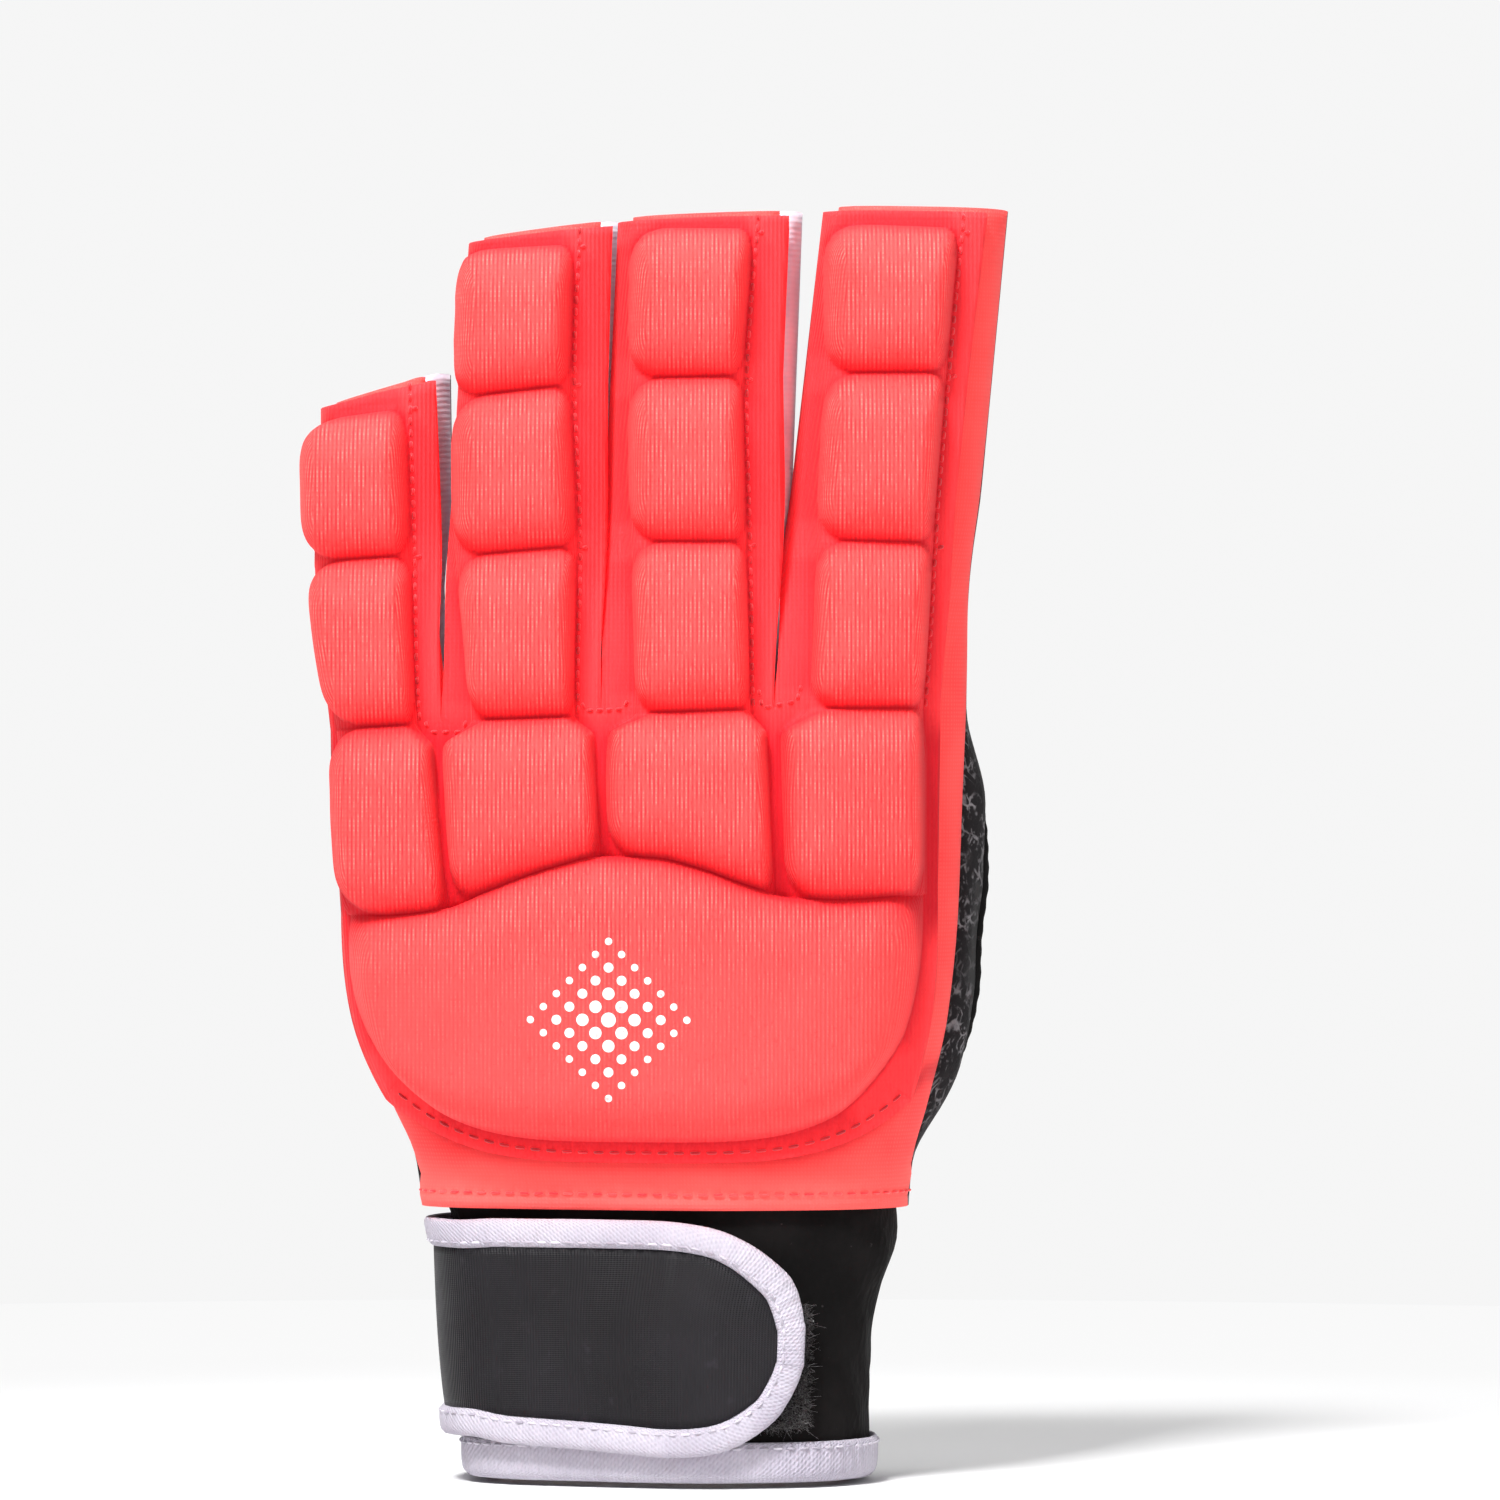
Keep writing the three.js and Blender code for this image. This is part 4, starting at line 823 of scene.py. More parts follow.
def strap_hem():
    middle = strap_outline(STRAP_EDGE / 2)
    toward = (strap_outline(STRAP_EDGE / 2 + 1) - middle)[:, None]
    around = np.linspace(0, 2 * math.pi, 16, endpoint=False)
    across_tape = power(np.cos(around), 0.8) * (STRAP_EDGE / 2 + 0.15)
    high = power(np.sin(around), 0.55) * STRAP_EDGE_THICKNESS / 2
    pucker = 1 + 0.05 * np.sin(run_along(middle) * 2.6)
    place = middle[:, None] + toward * across_tape[None, :, None]
    outlines = strap_point(place[..., 0], place[..., 1], high * pucker[:, None])
    return sweep_object("strap_hem_tape", outlines, False, -1)


def loop_pile():
    left, right, low, high = PATCH
    z, x = np.meshgrid(np.linspace(low, high, 30), np.linspace(left, right, 34), indexing="ij")
    angle = angle_at(body_at(z, CUFF_LINE), x)
    rough = 0.12 * RNG.standard_normal(z.shape)
    edge = np.minimum(np.minimum(x - left, right - x), np.minimum(z - low, high - z))
    outer = cuff_point(angle, z, PATCH_CLEARANCE + PATCH_THICKNESS * ease(edge / 1.5 + 0.3) + rough)
    inner = cuff_point(angle, z, PATCH_CLEARANCE)
    return sheet_object("loop_pile_base", [(outer, inner, np.stack([x, z], -1) / 10, 0, 0, None)])


# Threads and fibres, each kind one mesh
def threads(name, starts, ends, normals, radius, sides=6):
    """Short stitches that dip into the cloth at both ends, joined in one mesh."""
    along = unit(ends - starts)
    across_it = unit(np.cross(along, normals))
    up = np.cross(across_it, along)
    stations = np.array([0.0, 0.12, 0.35, 0.65, 0.88, 1.0])
    lift = np.array([-0.45, 0.05, 0.45, 0.45, 0.05, -0.45]) * radius
    girth = np.array([0.45, 0.9, 1.0, 1.0, 0.9, 0.45]) * radius
    turn = np.linspace(0, 2 * math.pi, sides, endpoint=False)[None, None, :, None]
    centre = starts[:, None] + (ends - starts)[:, None] * stations[:, None] + up[:, None] * lift[:, None]
    ring = across_it[:, None, None] * np.cos(turn) + up[:, None, None] * np.sin(turn)
    points = centre[:, :, None] + ring * girth[:, None, None]
    base = np.arange(len(stations) * sides).reshape(-1, sides)
    following = np.roll(base, -1, 1)
    walls = np.stack([base[:-1], following[:-1], following[1:], base[1:]], -1).reshape(-1, 4)
    offsets = np.arange(len(starts))[:, None, None] * base.size
    faces = (walls[None] + offsets).reshape(-1, 4).tolist()
    for cap in (base[0][::-1], base[-1]):
        faces += (cap[None] + offsets[:, 0]).tolist()
    tint = np.repeat(RNG.random(len(starts)), base.size)
    return mesh_object(name, points.reshape(-1, 3), faces, np.stack([tint, tint], -1))


def spaced(path, pitch, length):
    """Starts and ends of stitches along a path."""
    run = run_along(path)
    count = max(1, int(run[-1] / pitch))
    at = (np.arange(count) + 0.5) * run[-1] / count
    return [np.stack([np.interp(at + shift, run, column) for column in path.T], -1)
            for shift in (-length / 2, length / 2)]


def back_seam(finger, path, height, pitch, length):
    """Starts, ends and normals of stitches along a path of (x, z) on one finger's strip."""
    ends = spaced(np.array(path), pitch, length)
    (a, a_normal), (b, b_normal) = (back_surface(finger, *end.T)[:2] for end in ends)
    return a + a_normal * height, b + b_normal * height, a_normal


def back_stitches():
    top = PAD_LIFT + FLANGE + 0.05
    parts = []
    for finger, lines in enumerate(STRIPS):
        # down the thumb side of each finger's blocks
        right = [(mix(x_block, x_flange, 0.10), z) for z, x_block, x_flange in lines[::-1, [1, 4, 5]]]
        parts.append(back_seam(finger, smooth_path(np.array(right)), top, pitch=1.75, length=1.15))
        # two short stitches at the end of each groove
        for _, z, _, _, x, _ in lines[1:-1]:
            parts.append(back_seam(finger, [(x, z - 0.9), (x + 1.7, z - 0.2)], top, pitch=1.0, length=0.8))
    # round the foot of each slit
    for finger, foot in enumerate(([(-35.0, 115.2), (-34.4, 113.0), (-29.2, 113.0), (-28.6, 115.4)],
                                   [(-11.5, 117.6), (-10.9, 116.2), (-5.2, 116.4), (-4.4, 118.2)],
                                   [(14.6, 119.6), (15.2, 116.6), (20.2, 117.6), (21.0, 120.2)])):
        for ends in zip(foot, foot[1:]):
            parts.append(back_seam(finger, ends, top, pitch=1.3, length=0.95))
    return threads("back_stitches", *(np.concatenate(part) for part in zip(*parts)), radius=0.26)


def flange_stitches():
    """A stitch row close to the flange's lower edge."""
    x, z = edge_point(FLANGE_EDGE, np.linspace(-0.995, 0.995, 120))
    path = np.stack([x * 0.975, z + 1.5], -1)
    seam = back_seam(1, path, PAD_LIFT + FLANGE + 0.04, pitch=2.3, length=1.5)
    return threads("flange_stitches", *seam, radius=0.22)


def ring_stitches(name, table, z, offset, pitch, length, span=(0, 360)):
    starts, ends = spaced(cuff_point(np.linspace(*span, 500), z, offset, table), pitch, length)
    return threads(name, starts, ends, unit((starts - (0.5, 0, 0)) * (1, 1, 0)), radius=0.2)


def strap_stitches():
    starts, ends = (end.T for end in spaced(strap_outline(STRAP_EDGE - 0.75), pitch=2.0, length=1.35))
    height = STRAP_EDGE_THICKNESS / 2 - 0.12
    a, b, out = strap_point(*starts, height), strap_point(*ends, height), strap_point(*starts, height + 1)
    return threads("strap_stitches", a, b, unit(out - a), radius=0.2)


def pile_fibres():
    """Short bent fibres of the loop pile beyond the strap's end, joined in one mesh."""
    left, right, low, high = PATCH
    count = 5200
    x, z = RNG.uniform(left, right, count * 3), RNG.uniform(low, high, count * 3)
    top, bottom = columns(STRAP_LINE, x)
    open_to_view = (z < bottom + 1.2) | (z > top - 1.2) | (x > 20.5)
    x, z = x[open_to_view][:count], z[open_to_view][:count]
    angle = angle_at(body_at(z, CUFF_LINE), x)
    root = cuff_point(angle, z, PATCH_CLEARANCE + PATCH_THICKNESS * 0.7)
    tip = cuff_point(angle, z, PATCH_CLEARANCE + PATCH_THICKNESS + RNG.uniform(0.2, 0.9, len(x)))
    lean = RNG.normal(0, 0.55, (len(x), 3))
    middle = (root + tip) / 2 + lean * 0.7
    tip = tip + lean * 1.5
    side = unit(RNG.normal(0, 1, (len(x), 3)))
    other = unit(np.cross(side, tip - root))
    points = np.stack([at + (side * math.cos(a) + other * math.sin(a)) * radius
                       for at, radius in ((root, 0.075), (middle, 0.06), (tip, 0.02))
                       for a in (0, 2.09, 4.19)], 1)
    base = np.array([[0, 1, 4, 3], [1, 2, 5, 4], [2, 0, 3, 5], [3, 4, 7, 6], [4, 5, 8, 7], [5, 3, 6, 8]])
    faces = (base[None] + np.arange(len(x))[:, None, None] * 9).reshape(-1, 4).tolist()
    tint = np.repeat(RNG.random(len(x)), 9)
    return mesh_object("loop_pile_fibres", points.reshape(-1, 3), faces, np.stack([tint, tint], -1))


# Materials
def rgb(value):
    """An sRGB colour in 0 to 255 as the linear value a shader takes. Anything else stays as it is."""
    if not isinstance(value, tuple) or len(value) != 3:
        return value
    return tuple(((c / 255 + 0.055) / 1.055) ** 2.4 if c > 10 else c / 255 / 12.92 for c in value) + (1.0,)


class Cloth:
    """A material's node tree, with short ways to add nodes."""

    def __init__(self, name, **settings):
        self.material = bpy.data.materials.new(name)
        self.material.use_nodes = True
        self.tree = self.material.node_tree
        self.tree.nodes.clear()
        self.shader = self.tree.nodes.new("ShaderNodeBsdfPrincipled")
        end = self.tree.nodes.new("ShaderNodeOutputMaterial")
        self.tree.links.new(self.shader.outputs[0], end.inputs[0])
        for key, value in settings.items():
            self.set(key.replace("_", " "), value)

    def set(self, socket, value):
        self.put({i.name.lower(): i for i in self.shader.inputs}[socket.lower()], value)

    def put(self, socket, value):
        if isinstance(value, bpy.types.NodeSocket):
            self.tree.links.new(value, socket)
        else:
            socket.default_value = value

    def add(self, kind, inputs, out=0, **settings):
        made = self.tree.nodes.new("ShaderNode" + kind)
        for key, value in settings.items():
            setattr(made, key, value)
        for key, value in inputs.items():
            self.put(made.inputs[key], value)
        return made.outputs[out]

    def math(self, operation, a, b=0.0):
        return self.add("Math", {0: a, 1: b}, operation=operation)

    def times(self, a, b):
        return self.math("MULTIPLY", a, b)

    def plus(self, a, b):
        return self.math("ADD", a, b)

    def minus(self, a, b):
        return self.math("SUBTRACT", a, b)

    def split(self, vector):
        return self.add("SeparateXYZ", {0: vector}).node.outputs

    def axes(self):
        """The cloth's own u and v, in centimetres."""
        return self.split(self.add("UVMap", {}, uv_map="cloth"))[:2]

    def attribute(self, name):
        return self.add("Attribute", {}, 2, attribute_name=name)

    def place(self):
        return self.add("TexCoord", {}, "Object")

    def noise(self, scale, detail=4.0, roughness=0.6, where=None):
        return self.add("TexNoise", {"Vector": self.place() if where is None else where, "Scale": scale,
                                     "Detail": detail, "Roughness": roughness})

    def step(self, value, low, high, to_low=0.0, to_high=1.0):
        return self.add("MapRange", {0: value, 1: low, 2: high, 3: to_low, 4: to_high},
                        interpolation_type="SMOOTHSTEP")

    def wave(self, value, period):
        """A sine of that period in the value's own unit, from 0 to 1."""
        turns = self.times(value, 2 * math.pi / period)
        return self.add("Math", {0: self.math("SINE", turns), 1: 0.5, 2: 0.5}, operation="MULTIPLY_ADD")

    def ribs(self, u, period):
        """Vertical ribs, spaced by u on the front and by the depth on faces that look to the side."""
        where = self.add("TexCoord", {}).node.outputs
        sideways = self.step(self.math("ABSOLUTE", self.split(where["Normal"])[0]), 0.68, 0.76)
        front = self.wave(u, period)
        side = self.wave(self.times(self.split(where["Object"])[1], 100.0), period)
        return self.plus(front, self.times(sideways, self.minus(side, front)))

    def blend(self, share, a, b):
        made = self.add("Mix", {}, 2, data_type="RGBA").node
        for socket, value in zip((0, 6, 7), (share, rgb(a), rgb(b))):
            self.put(made.inputs[socket], value)
        return made.outputs[2]

    def mottled(self, scale, low, high, a, b):
        return self.blend(self.step(self.noise(scale), low, high), a, b)

    def paint(self, colour, *layers):
        """The base colour, with layers of a share and a colour over it."""
        for share, over in layers:
            colour = self.blend(share, colour, over)
        self.set("Base Color", colour)

    def relief(self, height, distance, strength=1.0):
        self.set("Normal", self.add("Bump", {"Height": height, "Distance": distance, "Strength": strength}))


# The red emission is a painted glow that lifts the coral's shade; the foam and the shell knit set its
# strength.
CORAL = dict(sheen_weight=0.08, sheen_tint=(1.0, 0.55, 0.5, 1.0), subsurface_radius=(1.0, 0.25, 0.2),
             specular_ior_level=0.25, emission_color=(1.0, 0.02, 0.04, 1.0))
PRINT_CENTRE = (-0.76, 7.0)
PRINT_PITCH, PRINT_CELLS = 0.39, 3.0


def print_dots(cloth, u, v):
    """A diamond of plain dots on the large pad, smaller towards its rim."""
    du, dv = cloth.minus(u, PRINT_CENTRE[0]), cloth.minus(v, PRINT_CENTRE[1])
    cells = []
    for axis in (cloth.plus(du, dv), cloth.minus(du, dv)):
        turned = cloth.math("DIVIDE", axis, PRINT_PITCH)
        cells.append((cloth.math("ABSOLUTE", cloth.math("ROUND", turned)),
                      cloth.minus(turned, cloth.math("ROUND", turned))))
    (cell_a, a), (cell_b, b) = cells
    far = cloth.math("SQRT", cloth.plus(cloth.math("POWER", a, 2.0), cloth.math("POWER", b, 2.0)))
    inside = cloth.math("MAXIMUM", cell_a, cell_b)
    size = cloth.add("MapRange", {0: inside, 1: 0.0, 2: PRINT_CELLS, 3: 0.40, 4: 0.20})
    dot = cloth.times(cloth.math("LESS_THAN", far, size), cloth.math("LESS_THAN", inside, PRINT_CELLS + 0.5))
    return cloth.times(dot, cloth.step(cloth.noise(900.0, 2.0), 0.30, 0.42, 0.55, 1.0))


def coral_foam():
    """Moulded foam under a fine ribbed knit, with the plain print on the large pad."""
    cloth = Cloth("coral_foam_knit", roughness=0.78, sheen_roughness=0.45, subsurface_weight=0.12,
                  subsurface_scale=0.002, emission_strength=0.16, **CORAL)
    u, v = cloth.axes()
    rise, painted_shade = cloth.attribute("rise"), cloth.attribute("painted_shade")
    high = cloth.step(rise, 0.5, 6.5)
    # vertical ribs of the knit with small loops, broken up here and there, and faint on the large pad; the
    # dark between the ribs is partly the knit's pattern and partly painted shade, and their glints are
    # painted highlights
    ribs = cloth.ribs(u, 0.064)
    where = cloth.add("CombineXYZ", {0: cloth.times(u, 9.0), 1: cloth.times(v, 3.0)})
    broken = cloth.noise(1.0, 3.0, 0.6, where)
    loops = cloth.times(ribs, cloth.wave(v, 0.071))
    on_blocks = cloth.step(v, 7.0, 8.6, 0.35, 1.0)
    groove = cloth.times(cloth.step(ribs, 0.0, 0.5, 0.75, 0.0), cloth.step(broken, 0.38, 0.60, 0.30, 1.0))
    groove = cloth.times(cloth.times(groove, cloth.step(high, 0.0, 0.8, 0.35, 1.0)), on_blocks)
    shine = cloth.plus(cloth.times(cloth.step(ribs, 0.45, 1.0), 0.5), cloth.step(loops, 0.5, 1.0, 0.0, 0.5))
    glint = cloth.times(cloth.times(shine, cloth.step(broken, 0.44, 0.62, 0.08, 0.50)), on_blocks)
    specks = cloth.step(cloth.noise(1300.0, 2.0), 0.60, 0.72, 0.0, 0.35)
    worn = cloth.step(cloth.noise(210.0, 2.0), 0.64, 0.80, 0.0, 0.10)
    # painted shade: the grooves between the knuckle blocks are painted a deeper red
    band = cloth.times(cloth.step(v, 7.9, 8.7), cloth.step(v, 11.0, 11.7, 1.0, 0.0))
    deep = cloth.times(cloth.step(rise, 2.0, 8.4, 0.95, 0.0), band)
    ink = print_dots(cloth, u, v)
    cloth.paint(
        # painted shade: the foam's low parts, its flange and grooves, a little darker than its tops
        cloth.blend(high, (252, 56, 60), (255, 70, 68)),
        (cloth.step(cloth.noise(38.0), 0.42, 0.75, 0.0, 0.16), (225, 50, 52)),
        # partly the knit's pattern, partly painted shade between the ribs
        (groove, (226, 22, 36)),
        # painted highlight on the ribs
        (cloth.times(glint, high), (255, 150, 138)),
        (specks, (228, 36, 44)),
        (cloth.times(worn, high), (200, 70, 66)),
        # painted shade in the grooves between the knuckle blocks
        (deep, (182, 0, 22)),
        # painted shade along the creases and at the foot of the blocks
        (cloth.times(painted_shade, 0.9), (190, 4, 22)),
        (ink, (236, 226, 224)),
    )
    cloth.set("Roughness", cloth.add("MapRange", {0: ink, 1: 0.0, 2: 1.0, 3: 0.78, 4: 0.45}))
    knit = cloth.plus(cloth.times(ribs, 0.6), cloth.times(loops, 0.3))
    fabric = cloth.plus(knit, cloth.times(cloth.noise(1500.0, 2.0), 0.3))
    cloth.relief(cloth.plus(fabric, cloth.times(ink, 0.25)), 0.00016, 0.7)
    return cloth.material


def coral_knit():
    cloth = Cloth("coral_shell_knit", roughness=0.75, sheen_roughness=0.5, subsurface_weight=0.1,
                  subsurface_scale=0.0015, emission_strength=0.14, **CORAL)
    u, v = cloth.axes()
    loops = cloth.times(cloth.ribs(u, 0.055), cloth.wave(v, 0.06))
    cloth.paint(
        cloth.mottled(45.0, 0.35, 0.7, (255, 80, 76), (250, 62, 62)),
        # partly the knit's loops, partly painted highlight on their tops
        (cloth.times(loops, 0.14), (255, 150, 140)),
        # painted shadow on the shell under the flange's edge
        (cloth.times(cloth.attribute("painted_shade"), 0.85), (176, 8, 26)),
        # painted highlight: the shell lighter towards the hem
        (cloth.step(v, 4.4, 5.1, 0.5, 0.0), (255, 116, 108)),
        (cloth.times(cloth.step(v, 4.0, 4.8, 0.14, 0.0), cloth.noise(120.0)), (150, 52, 50)),
    )
    cloth.relief(cloth.plus(loops, cloth.times(cloth.noise(600.0), 0.6)), 0.00007, 0.6)
    return cloth.material


def palm_fabric():
    """Black synthetic suede with a broken grey pattern of small curls."""
    cloth = Cloth("palm_suede", roughness=0.8, specular_ior_level=0.15, sheen_weight=0.06,
                  sheen_roughness=0.4)
    u, v = cloth.axes()
    where = cloth.add("CombineXYZ", {0: u, 1: cloth.times(v, 0.7)})
    bent = cloth.add("TexNoise", {"Vector": where, "Scale": 5.0, "Detail": 2.0}, 1)
    bent = cloth.add("VectorMath", {0: bent, 1: (0.16, 0.16, 0.0)}, operation="MULTIPLY")
    moved = cloth.add("VectorMath", {0: where, 1: bent}, operation="ADD")
    lines = cloth.add("TexVoronoi", {"Vector": moved, "Scale": 6.5}, feature="DISTANCE_TO_EDGE")
    spots = cloth.add("TexVoronoi", {"Vector": moved, "Scale": 15.0})
    spots = cloth.times(cloth.step(spots, 0.18, 0.36, 1.0, 0.0), 0.7)
    broken = cloth.step(cloth.noise(420.0, 3.0), 0.42, 0.62)
    patches = cloth.step(cloth.noise(60.0, 2.0), 0.36, 0.60, 0.25, 1.0)
    mask = cloth.times(cloth.math("MAXIMUM", cloth.step(lines, 0.02, 0.14, 1.0, 0.0), spots),
                       cloth.times(broken, patches))
    dust = cloth.step(cloth.noise(140.0), 0.55, 0.8, 0.0, 0.25)
    cloth.paint(cloth.blend(mask, (26, 23, 25), (128, 124, 127)), (dust, (70, 66, 66)))
    cloth.relief(cloth.noise(1400.0, 3.0), 0.00018, 0.8)
    return cloth.material


def stretch_knit():
    """Pale knit, greyer deep between the fingers."""
    cloth = Cloth("pale_stretch_knit", roughness=0.8, sheen_weight=0.3, specular_ior_level=0.2,
                  subsurface_weight=0.1, subsurface_scale=0.001, subsurface_radius=(1.0, 0.8, 0.9))
    ribs = cloth.wave(cloth.axes()[1], 0.085)
    low = cloth.step(cloth.split(cloth.place())[2], 0.118, 0.136, 1.0, 0.0)
    cloth.paint(
        cloth.mottled(70.0, 0.4, 0.7, (206, 201, 214), (188, 182, 200)),
        (cloth.times(low, 0.75), (92, 82, 100)),
        (cloth.times(cloth.minus(1.0, ribs), 0.08), (150, 140, 165)),
    )
    cloth.relief(cloth.plus(ribs, cloth.noise(900.0)), 0.00006, 0.7)
    return cloth.material


def dark_jersey():
    cloth = Cloth("black_jersey", roughness=0.9, specular_ior_level=0.08, sheen_weight=0.04,
                  sheen_roughness=0.35)
    u, v = cloth.axes()
    knit = cloth.add("TexVoronoi", {"Vector": cloth.add("CombineXYZ", {0: u, 1: v}), "Scale": 9.0})
    lint = cloth.step(cloth.noise(800.0, 2.0), 0.72, 0.78, 0.0, 0.25)
    cloth.paint(cloth.mottled(55.0, 0.4, 0.7, (13, 12, 12), (22, 20, 20)), (lint, (90, 84, 84)))
    cloth.relief(cloth.plus(knit, cloth.times(cloth.noise(1200.0), 0.6)), 0.0002, 0.7)
    return cloth.material


def white_tape():
    cloth = Cloth("white_tape", roughness=0.78, sheen_weight=0.08, specular_ior_level=0.15,
                  subsurface_weight=0.08, subsurface_scale=0.001, subsurface_radius=(1.0, 0.8, 0.9))
    u, v = cloth.axes()
    weave = cloth.plus(cloth.wave(u, 0.055), cloth.wave(cloth.plus(u, v), 0.08))
    cloth.paint(
        cloth.mottled(60.0, 0.4, 0.72, (190, 185, 197), (174, 168, 182)),
        (cloth.step(cloth.noise(150.0, 3.0), 0.60, 0.80, 0.0, 0.35), (150, 142, 148)),
        (cloth.step(weave, 0.2, 0.9, 0.22, 0.0), (140, 134, 150)),
    )
    cloth.relief(cloth.plus(weave, cloth.noise(900.0)), 0.00009, 0.8)
    return cloth.material


def strap_satin():
    cloth = Cloth("strap_satin_weave", roughness=0.45, sheen_weight=0.02, specular_ior_level=0.22)
    u, v = cloth.axes()
    rubbed = cloth.step(cloth.noise(260.0, 3.0), 0.64, 0.80, 0.0, 0.30)
    cloth.paint(cloth.mottled(40.0, 0.35, 0.7, (15, 13, 17), (23, 21, 26)), (rubbed, (58, 54, 62)))
    cloth.set("Roughness", cloth.add("MapRange", {0: cloth.noise(90.0), 1: 0.3, 2: 0.7, 3: 0.36, 4: 0.56}))
    cloth.relief(cloth.plus(cloth.wave(u, 0.045), cloth.times(cloth.wave(v, 0.03), 0.6)), 0.00007, 0.8)
    return cloth.material


def dark_pile():
    cloth = Cloth("black_loop_pile", roughness=0.9, specular_ior_level=0.2, sheen_weight=0.6,
                  sheen_roughness=0.3)
    cloth.paint(cloth.mottled(300.0, 0.3, 0.7, (18, 16, 17), (54, 48, 50)))
    cloth.relief(cloth.noise(1800.0, 3.0), 0.0005, 1.0)
    return cloth.material


def thread(name, dark, light, glow=0.0):
    """Thread between two colours, each stitch a shade of its own. Glow is the strength of a painted red glow.
    """
    cloth = Cloth(name, roughness=0.5, sheen_weight=0.3, specular_ior_level=0.4,
                  emission_color=(1.0, 0.01, 0.02, 1.0), emission_strength=glow)
    cloth.paint(cloth.blend(cloth.axes()[0], dark, light))
    cloth.relief(cloth.noise(2600.0, 2.0), 0.00006, 0.8)
    return cloth.material


coral_cloth, shell_cloth, palm_cloth = coral_foam(), coral_knit(), palm_fabric()
stretch_cloth, jersey, tape = stretch_knit(), dark_jersey(), white_tape()
satin, pile = strap_satin(), dark_pile()
coral_thread = thread("coral_thread", (190, 8, 26), (236, 26, 40), 0.05)
# the welt's thread is a little darker than the other coral thread, partly painted shade under the flange's
# edge
welt_thread = thread("welt_thread", (176, 12, 28), (214, 24, 40), 0.05)
hem_thread = thread("hem_thread", (236, 44, 52), (255, 84, 82), 0.1)
white_thread = thread("white_thread", (150, 144, 158), (208, 203, 214))

# Pieces: object, CAD node it stands for, material slot and material
foam, shell, hand_palm = padded_back(), back_shell(), palm()
walls = [side_wall(finger) for finger in range(3)]
piping, cuff_body, cuff_tape = thumb_piping(), cuff(), cuff_hem()
strap_body, strap_tape, pile_base = strap(), strap_hem(), loop_pile()
shell_stitches = ring_stitches("shell_hem_stitches", BODY, z=43.6, offset=0.12, pitch=2.3, length=1.5,
                               span=(5, 175))
cuff_stitches = ring_stitches("cuff_hem_stitches", CUFF_LINE, z=5.5, offset=1.62, pitch=2.1, length=1.4)
tape_stitches, fibres = strap_stitches(), pile_fibres()

for obj, node, slot, material in (
    (foam, "padded_back", "padding", coral_cloth),
    (shell, "back_shell", "shell_fabric", shell_cloth),
    (hand_palm, "palm", "palm_fabric", palm_cloth),
    (walls[0], "side_wall_little_ring", "stretch_fabric", stretch_cloth),
    (walls[1], "side_wall_ring_middle", "stretch_fabric", stretch_cloth),
    (walls[2], "side_wall_middle_index", "stretch_fabric", stretch_cloth),
    (piping, "thumb_binding", "black_piping", jersey),
    (cuff_body, "cuff", "cuff_fabric", jersey),
    (cuff_tape, "cuff_binding", "white_binding", tape),
    (strap_body, "strap", "strap_webbing", satin),
    (strap_tape, "strap_binding", "white_binding", tape),
    (pile_base, "loop_patch", "loop_pile", pile),
    (back_stitches(), None, "padding", coral_thread),
    (flange_stitches(), None, "padding", welt_thread),
    (shell_stitches, None, "shell_fabric", hem_thread),
    (cuff_stitches, None, "white_binding", white_thread),
    (tape_stitches, None, "white_binding", white_thread),
    (fibres, None, "loop_pile", pile),
):
    obj.data.materials.append(material)
    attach(obj, "root")
    if node:
        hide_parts(node)


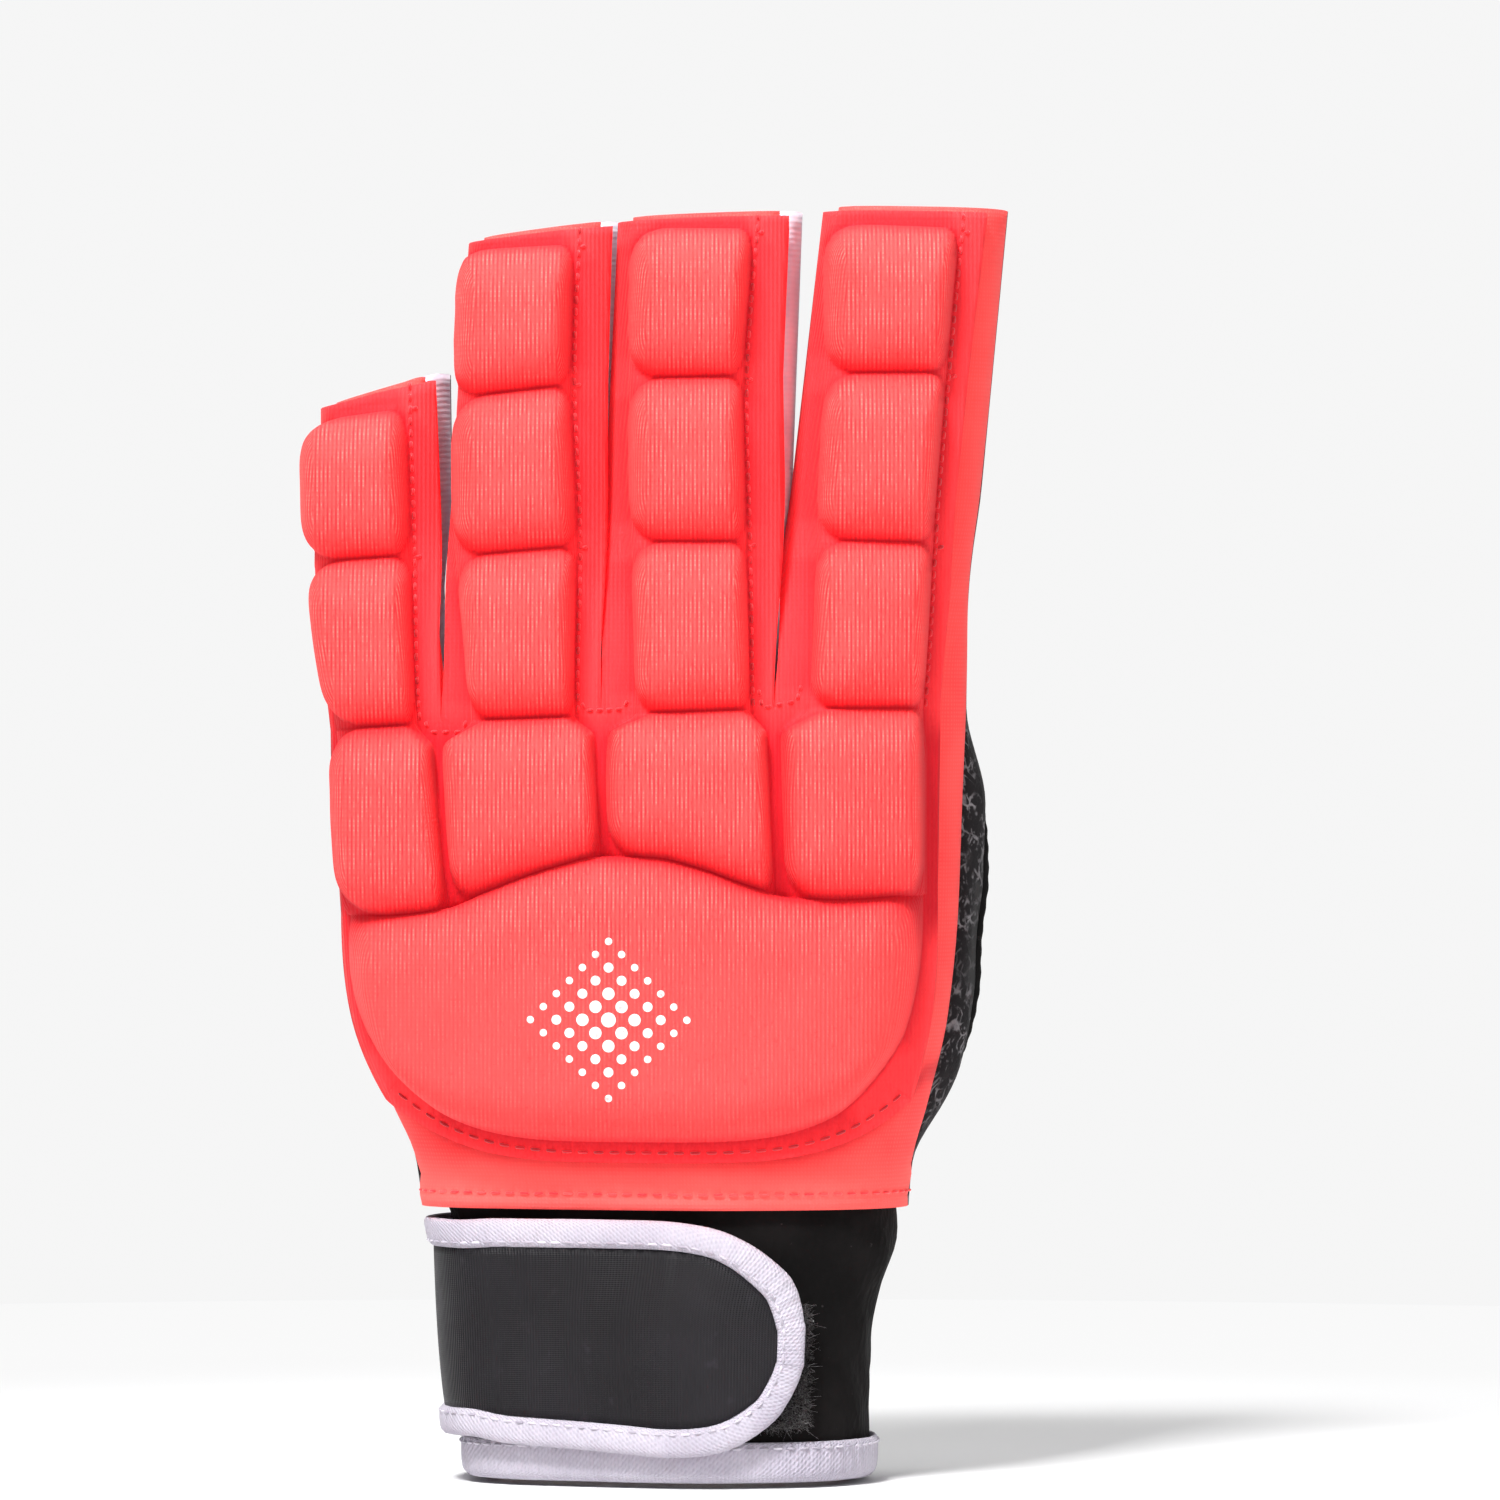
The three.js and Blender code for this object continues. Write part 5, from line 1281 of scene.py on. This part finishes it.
# Floor, surroundings, light and camera
def studio_floor():
    """A pale floor whose paint fades into the surroundings towards its rim."""
    bpy.ops.mesh.primitive_circle_add(vertices=96, radius=0.5, fill_type="NGON", location=(0, 0, -0.0006))
    floor = bpy.context.object
    floor.name = "studio_floor"
    cloth = Cloth("studio_floor_paint", roughness=0.9, specular_ior_level=0.05,
                  emission_color=(1.0, 1.0, 1.0, 1.0))
    away = cloth.add("VectorMath", {0: cloth.place()}, 1, operation="LENGTH")
    faded = cloth.step(away, 0.10, 0.34)
    paint = cloth.blend(cloth.noise(4.0), (0.80, 0.80, 0.81, 1), (0.84, 0.84, 0.84, 1))
    cloth.paint(paint, (faded, (0.02, 0.02, 0.02, 1)))
    cloth.set("Emission Strength", cloth.times(faded, 0.92))
    floor.data.materials.append(cloth.material)


def surroundings():
    """Pale up to a little above the horizon and darker overhead, so that the foam keeps its shading."""
    world = bpy.data.worlds.new("studio")
    world.use_nodes = True
    nodes, links = world.node_tree.nodes, world.node_tree.links
    split, band = nodes.new("ShaderNodeSeparateXYZ"), nodes.new("ShaderNodeMapRange")
    band.interpolation_type = "SMOOTHSTEP"
    for key, value in (("From Min", 0.08), ("From Max", 0.13), ("To Min", 0.92), ("To Max", 0.28)):
        band.inputs[key].default_value = value
    links.new(nodes.new("ShaderNodeTexCoord").outputs["Generated"], split.inputs[0])
    links.new(split.outputs[2], band.inputs["Value"])
    links.new(band.outputs[0], nodes["Background"].inputs["Strength"])
    nodes["Background"].inputs["Color"].default_value = (1.0, 1.0, 1.0, 1.0)
    bpy.context.scene.world = world


def lights():
    for name, place, size, watts in (
        ("key", (-0.30, -0.70, 1.00), 0.3, 1.95),
        ("fill", (0.5, -1.0, 0.45), 0.6, 0.3),
        ("top", (0.05, 0.05, 0.95), 0.4, 0.4),
    ):
        light = bpy.data.lights.new(name, "AREA")
        light.energy, light.size, light.spread = watts, size, math.radians(50)
        lamp = bpy.data.objects.new(name, light)
        bpy.context.scene.collection.objects.link(lamp)
        lamp.location = place
        lamp.rotation_euler = (Vector((0, 0, 0.1)) - Vector(place)).to_track_quat("-Z", "Y").to_euler()


def camera():
    data = bpy.data.cameras.new("camera")
    data.sensor_width, data.lens = 36, 240
    data.clip_start, data.clip_end = 0.05, 20
    eye = bpy.data.objects.new("camera", data)
    bpy.context.scene.collection.objects.link(eye)
    eye.location = (0.0135, -1.52, 0.11025)
    eye.rotation_euler = (math.pi / 2, 0, 0)
    bpy.context.scene.camera = eye


studio_floor()
surroundings()
lights()
camera()
bpy.context.scene.view_settings.view_transform = "Standard"
